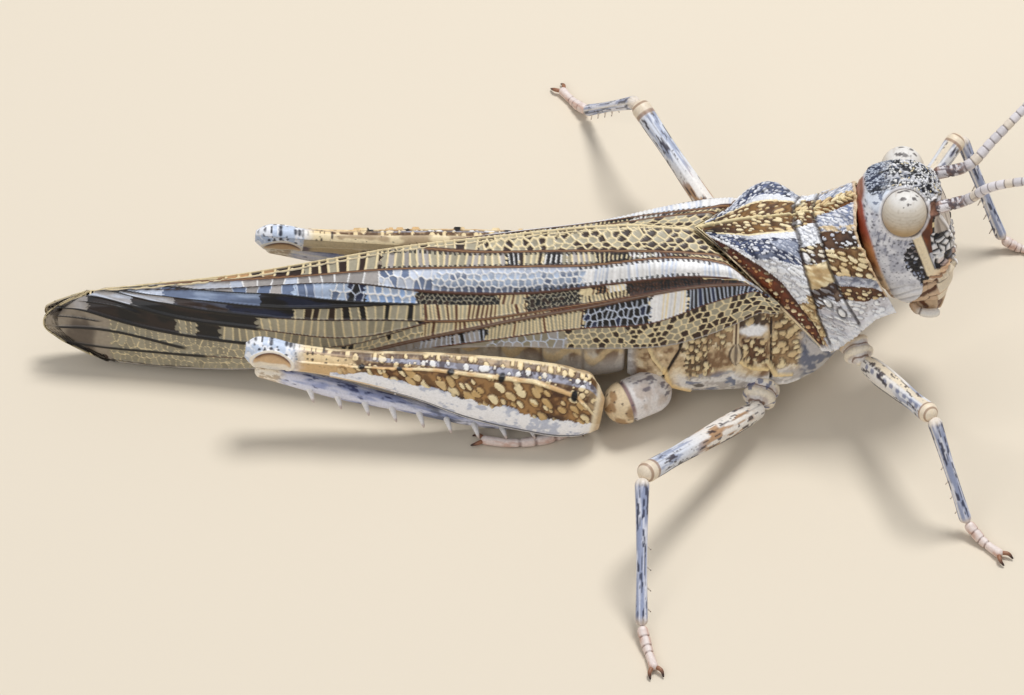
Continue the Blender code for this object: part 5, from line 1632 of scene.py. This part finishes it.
def thigh_marks(t, h, outer, tall):
    """Tint and height at share t from knee to hip and height share h; v and along are in mm."""
    along = t * THIGH_LENGTH
    v = h * tall
    cloud, fine = rough(along * 1.4, v * 2.2, 90.0), rough(along * 4.5, v * 4.5, 90.5)
    mixed = 0.5 * cloud + 0.5 * fine
    keel_h = np.interp(t, KEEL_AT, KEEL_HEIGHT)
    white_h = np.interp(t, WHITE_AT, WHITE_HEIGHT) + 0.30 * (rough(along * 2.4, v * 0 + 1, 91.0) - 0.5)
    turn = np.degrees(np.arctan2(h, outer))
    # brown field with slanted cream scales
    tint = lay((166, 124, 76), (92, 58, 32), step(0.48, 0.64, mixed) * 0.85)
    field = (h < keel_h) & (h > white_h) & (t > 0.22)
    lengthwise, crosswise = along * cos(0.6) - v * sin(0.6), along * sin(0.6) + v * cos(0.6)
    dome, moat, own = beads(lengthwise, crosswise, 0.33, 0.135, 92.0, 1.0, 1.8)
    dome = dome * (own > 0.12)
    # painted shade: the moat round each scale is darkened; painted highlight: each scale is paler towards its
    # top
    tint = lay(tint, (64, 38, 22), field * moat * 0.6)
    tint = lay(tint, lay((204, 168, 112), (244, 224, 178), step(0.2, 0.8, own) * dome), field * dome)
    height = field * dome * 0.10 + 0.03 * (mixed - 0.5)
    patches = step(0.20, 0.04, h - white_h) * step(0.48, 0.58, rough(along * 1.1, v * 0.6, 93.0))
    tint = lay(tint, (54, 32, 22), field * patches * (1 - 0.7 * dome) * 0.9)
    # grainy upper border with its grey band
    top = h > keel_h + 0.05
    crest = step(84, 91, turn + 8 * (fine - 0.5)) * (turn < 130)
    upper = lay((178, 150, 114), (104, 76, 50), step(0.44, 0.58, mixed))
    grey = line_at(turn, 57, 10) * step(0.26, 0.36, t)
    upper = lay(upper, lay((172, 172, 186), (98, 92, 100), step(0.48, 0.6, fine)), grey)
    dot, ditch, one = beads(along, v, 0.27, 0.10, 94.0, 0.9, 1.1)
    # painted shade: the ditch round each bead of the upper border is darkened
    upper = lay(upper, (66, 48, 38), ditch * 0.5 * step(0.2, 0.3, t))
    upper = lay(upper, lay((240, 216, 168), MILK, grey * step(0.3, 0.6, one)), dot * (one > 0.25))
    tint = lay(tint, upper, top * 1.0)
    height += top * dot * (one > 0.25) * 0.05 * step(0.2, 0.3, t) * (1 - crest)
    tint = lay(tint, (240, 220, 178), crest * 0.95)
    tint = lay(tint, (120, 84, 54), crest * step(0.54, 0.66, rough(along * 0.9, turn * 0.02, 96.0)) * 0.6)
    tint = lay(tint, INK, crest * grains(along, turn * 0.02, 0.62, 0.05, 97.0, 0.9) * 0.85)
    height += 0.05 * step(82, 92, turn) * (turn < 130)
    # smooth neck behind the knee
    neck = fade(0.20, 0.32, t + 0.1 * (mixed - 0.5)) * (t > 0.07)
    tint = lay(
        tint, lay((236, 208, 160), (220, 184, 134), step(0.1, -0.25, h - keel_h)), neck * (h < 0.8) * 0.9
    )
    tint = lay(tint, (196, 168, 138), neck * line_at(turn, 62, 7) * 0.8)
    tint = lay(tint, (46, 32, 28), neck * grains(along, v, 0.36, 0.075, 98.0, 0.9) * (h > 0) * 0.9)
    # white band, dark hairlines under it
    white = (h <= white_h) & (t > 0.2)
    tint = lay(tint, lay((246, 246, 250), (192, 198, 216), step(0.50, 0.62, mixed)), white * 1.0)
    height += 0.04 * white
    low_band = (h < -0.62) * fade(0.30, 0.42, t) * (t > 0.07)
    tint = lay(tint, (232, 204, 158), low_band * 0.9)
    for level, colour in LOW_LINES:
        tint = lay(tint, colour, line_at(h, level, 0.05) * (t > 0.12) * (t < 0.97) * 0.9)
    keel = fade(0.03, 0.07, np.abs(h - keel_h + 0.02 * (fine - 0.5))) * (t > 0.10) * (t < 1.0)
    tint = lay(tint, (66, 42, 28), fade(0.06, 0.11, np.abs(h - keel_h)) * (t > 0.25) * (t < 0.98) * 0.5)
    tint = lay(tint, lay((246, 224, 178), (224, 184, 130), step(0.50, 0.66, cloud)), keel)
    height += 0.10 * keel
    for at in KEEL_SPOTS:
        level = np.interp(at, KEEL_AT, KEEL_HEIGHT)
        tint = lay(tint, INK, spot(t + 0.006 * (fine - 0.5), h, at, level, 0.013, 0.15 + 0.04 * sin(90 * at)))
    # knee cap with its arched slot; the brown inside the slot, darkest under its rim, is painted shade
    cap = fade(0.07, 0.13, t + 0.04 * (mixed - 0.5))
    tint = lay(tint, lay((244, 245, 250), (200, 212, 232), step(0.50, 0.62, fine)), cap * 1.0)
    tint = lay(tint, (24, 26, 44), cap * grains(along, v * 1.3, 0.36, 0.10, 99.0, 0.8) * (h > 0.2) * 0.95)
    tint = lay(tint, (24, 26, 44), cap * grains(along, v, 0.28, 0.06, 100.0, 0.9) * (h > 0.3) * 0.8)
    arch = np.hypot((t - 0.028) / 0.061, (h + 0.30) / 0.86)
    under = (t < 0.14) * (h > -0.85)
    tint = lay(
        tint, lay((214, 178, 136), (104, 66, 42), step(0.45, 0.90, arch) * step(-0.3, 0.1, h)),
        under * fade(0.88, 0.96, arch)
    )
    tint = lay(tint, (240, 228, 208), under * (arch < 0.95) * step(-0.35, -0.6, h))
    tint = lay(tint, (244, 234, 218), under * fade(0.04, 0.10, np.abs(arch - 1.02)))
    height += under * (0.05 * fade(0.05, 0.14, np.abs(arch - 1.02)) - 0.16 * fade(0.6, 0.95, arch))
    tint = lay(tint, (240, 230, 212), cap * (h <= -0.82) * 0.9)
    butt = step(0.980, 0.990, t + 0.008 * (mixed - 0.5))
    tint = lay(tint, lay((242, 226, 194), (206, 176, 134), step(0.99, 1.005, t)), butt * 0.9)
    height = height * fade(0.955, 0.985, t) + 0.04 * butt
    inner = outer < -0.6
    plainer = lay((206, 186, 150), (96, 84, 96), step(0.55, 0.7, rough(along * 0.7, v * 1.2, 101.0)))
    return (
        lay(tint, plainer, inner * (np.abs(h) < 0.8) * (t > 0.09) * 0.9), height * np.where(inner, 0.3, 1.0)
    )


# %% Shin, spines and foot
HIND_SHIN = ((9.4, 3.95, 3.42), (10.3, 4.0, 3.2), (15.4, 4.28, 1.87), (20.0, 4.30, 0.64), (23.9, 4.15, 0.42))
HIND_SHIN_RADIUS = (0.30, 0.44, 0.32, 0.31, 0.34)
SHIN_LOBE = 1.5
HIND_TOE = ((24.0, 4.25, 0.22), (22.7, 4.95, 0.21), (21.2, 5.25, 0.21), (19.7, 5.08, 0.21))
SPINES = 10
SPINE_FROM = 0.168
SPINE_EVERY = 0.087
SPINE_REACH = np.array((0.32, 0.86, -0.30))
SPINE_LENGTH = 0.96
SPINE_LOW = 0.56


def make_hind_leg(side, sign):
    """Thigh, shin with two rows of spines and two spurs, and foot."""
    grid, t, h, outer, tall = hind_thigh(sign, 340, 220)
    tint, height = thigh_marks(t, h, outer, tall)
    keep(tube(f"hind_thigh_{side}", raised(grid, height), tint, LEG_FINISH), f"hind_femur_{side}")
    path = mirrored(HIND_SHIN, sign)
    grid, along, angle = rod(path, HIND_SHIN_RADIUS, 300, 48)
    streak = rough(along * 0.8, angle * 2.0, 102.0)
    speckle = rough(along * 2.6, angle * 3.4, 103.0)
    shin = lay((222, 222, 236), (146, 156, 198), step(0.40, 0.62, streak) * 0.85)
    shin = lay(
        shin, (44, 52, 96), step(0.58, 0.66, 0.6 * speckle + 0.4 * streak) * fade(6.5, 8.5, along) * 0.85
    )
    shin = lay(
        shin, (92, 94, 104), step(6.0, 9.0, along) * step(0.42, 0.60, 0.5 * speckle + 0.5 * streak) * 0.8
    )
    shin = lay(shin, (238, 234, 230), line_at(angle, sign * 1.1, 0.20) * 0.8)
    lobe = fade(SHIN_LOBE - 0.5, SHIN_LOBE, along + 0.4 * (streak - 0.5))
    shin = lay(
        shin, lay((244, 234, 216), (196, 176, 150), step(0.5, 0.62, rough(along * 3, angle * 3, 104.0))),
        lobe
    )
    parts = [(grid, shin)]
    lengths = np.concatenate([[0], np.cumsum(np.linalg.norm(np.diff(path, axis=0), axis=1))])
    for n in range(SPINES):
        where = (SPINE_FROM + SPINE_EVERY * n) * lengths[-1]
        at = np.array([np.interp(where, lengths, path[:, k]) for k in range(3)])
        root = at + (0.0, sign * 0.14, -0.05)
        reach = SPINE_REACH * (1, sign, 1)
        reach[2] = -min(0.30, (at[2] - SPINE_LOW) / SPINE_LENGTH)
        parts.append(thorn(root, root + reach * SPINE_LENGTH, 0.17, (240, 236, 234), (196, 176, 164)))
        inner_root = at + (0.0, -sign * 0.12, -0.02)
        inner = np.array((0.34, -sign * 0.55, 0.02)) * 0.72
        parts.append(thorn(inner_root, inner_root + inner, 0.10, (232, 226, 220), (150, 120, 100)))
    for spread in (-1, 1):
        spur = path[-1] + (0.05, sign * 0.12 * spread, -0.05)
        parts.append(
            thorn(
                spur, spur + (0.45, sign * (0.10 + 0.26 * spread), -0.28), 0.10, (232, 224, 216),
                (70, 48, 40)
            )
        )
    keep(bundle(f"hind_shin_{side}", parts, LEG_FINISH), f"hind_tibia_{side}")
    make_foot(f"hind_tarsus_{side}", mirrored(HIND_TOE, sign))


for side, sign in SIDES:
    make_hind_leg(side, sign)

# %% [markdown]
# ## Floor, light and camera
# A pale, matt floor under two round soft lights and an even, faintly blue sky.

# %% Stage
def plain(name, colour, roughness):
    """One even colour."""
    made = bpy.data.materials.new(name)
    made.use_nodes = True
    shader = made.node_tree.nodes["Principled BSDF"]
    shader.inputs["Base Color"].default_value = (*colour, 1.0)
    shader.inputs["Roughness"].default_value = roughness
    return made


FLOOR_REACH = 1.2
floor_mesh = bpy.data.meshes.new("floor")
floor_mesh.from_pydata(
    [(x * FLOOR_REACH, y * FLOOR_REACH, 0.0) for x, y in ((-1, -1), (1, -1), (1, 1), (-1, 1))], [],
    [(0, 1, 2, 3)]
)
floor_mesh.materials.append(plain("pale_floor", paint(226, 214, 194), 0.9))
floor = bpy.data.objects.new("floor", floor_mesh)
bpy.context.scene.collection.objects.link(floor)

world = bpy.data.worlds.new("studio")
world.use_nodes = True
world.node_tree.nodes["Background"].inputs["Color"].default_value = (0.93, 0.95, 1.0, 1.0)
world.node_tree.nodes["Background"].inputs["Strength"].default_value = 0.42
bpy.context.scene.world = world


def lamp(name, place, aim, size, power):
    """Round soft light of this width in metres and power in watts."""
    made = bpy.data.lights.new(name, "AREA")
    made.shape = "DISK"
    made.size = size
    made.energy = power
    lit = bpy.data.objects.new(name, made)
    lit.location = place
    lit.rotation_euler = (Vector(aim) - Vector(place)).to_track_quat("-Z", "Y").to_euler()
    bpy.context.scene.collection.objects.link(lit)


lamp("key_light", (0.05, 0.10, 0.28), (0.0, 0.0, 0.0), 0.10, 0.62)
lamp("fill_light", (-0.12, -0.22, 0.22), (0.0, 0.0, 0.005), 0.20, 0.22)

# %% Camera
ELEVATION = radians(46.0)
AZIMUTH = radians(1.5)
AIM = np.array((21.0, 0.0, 4.0))
DISTANCE = 240.0
SENSOR = 36.0
LENS = 183.94
DROP = -0.0435
back = np.array((sin(AZIMUTH) * cos(ELEVATION), -cos(AZIMUTH) * cos(ELEVATION), sin(ELEVATION)))
camera_data = bpy.data.cameras.new("camera")
camera_data.lens = LENS
camera_data.sensor_width = SENSOR
camera_data.shift_y = DROP
camera_data.clip_start = 0.01
camera_data.clip_end = 10.0
camera = bpy.data.objects.new("camera", camera_data)
camera.location = Vector(put(AIM + DISTANCE * back))
camera.rotation_euler = Vector(-back).to_track_quat("-Z", "Y").to_euler()
bpy.context.scene.collection.objects.link(camera)
bpy.context.scene.camera = camera
bpy.context.scene.view_settings.view_transform = "Standard"
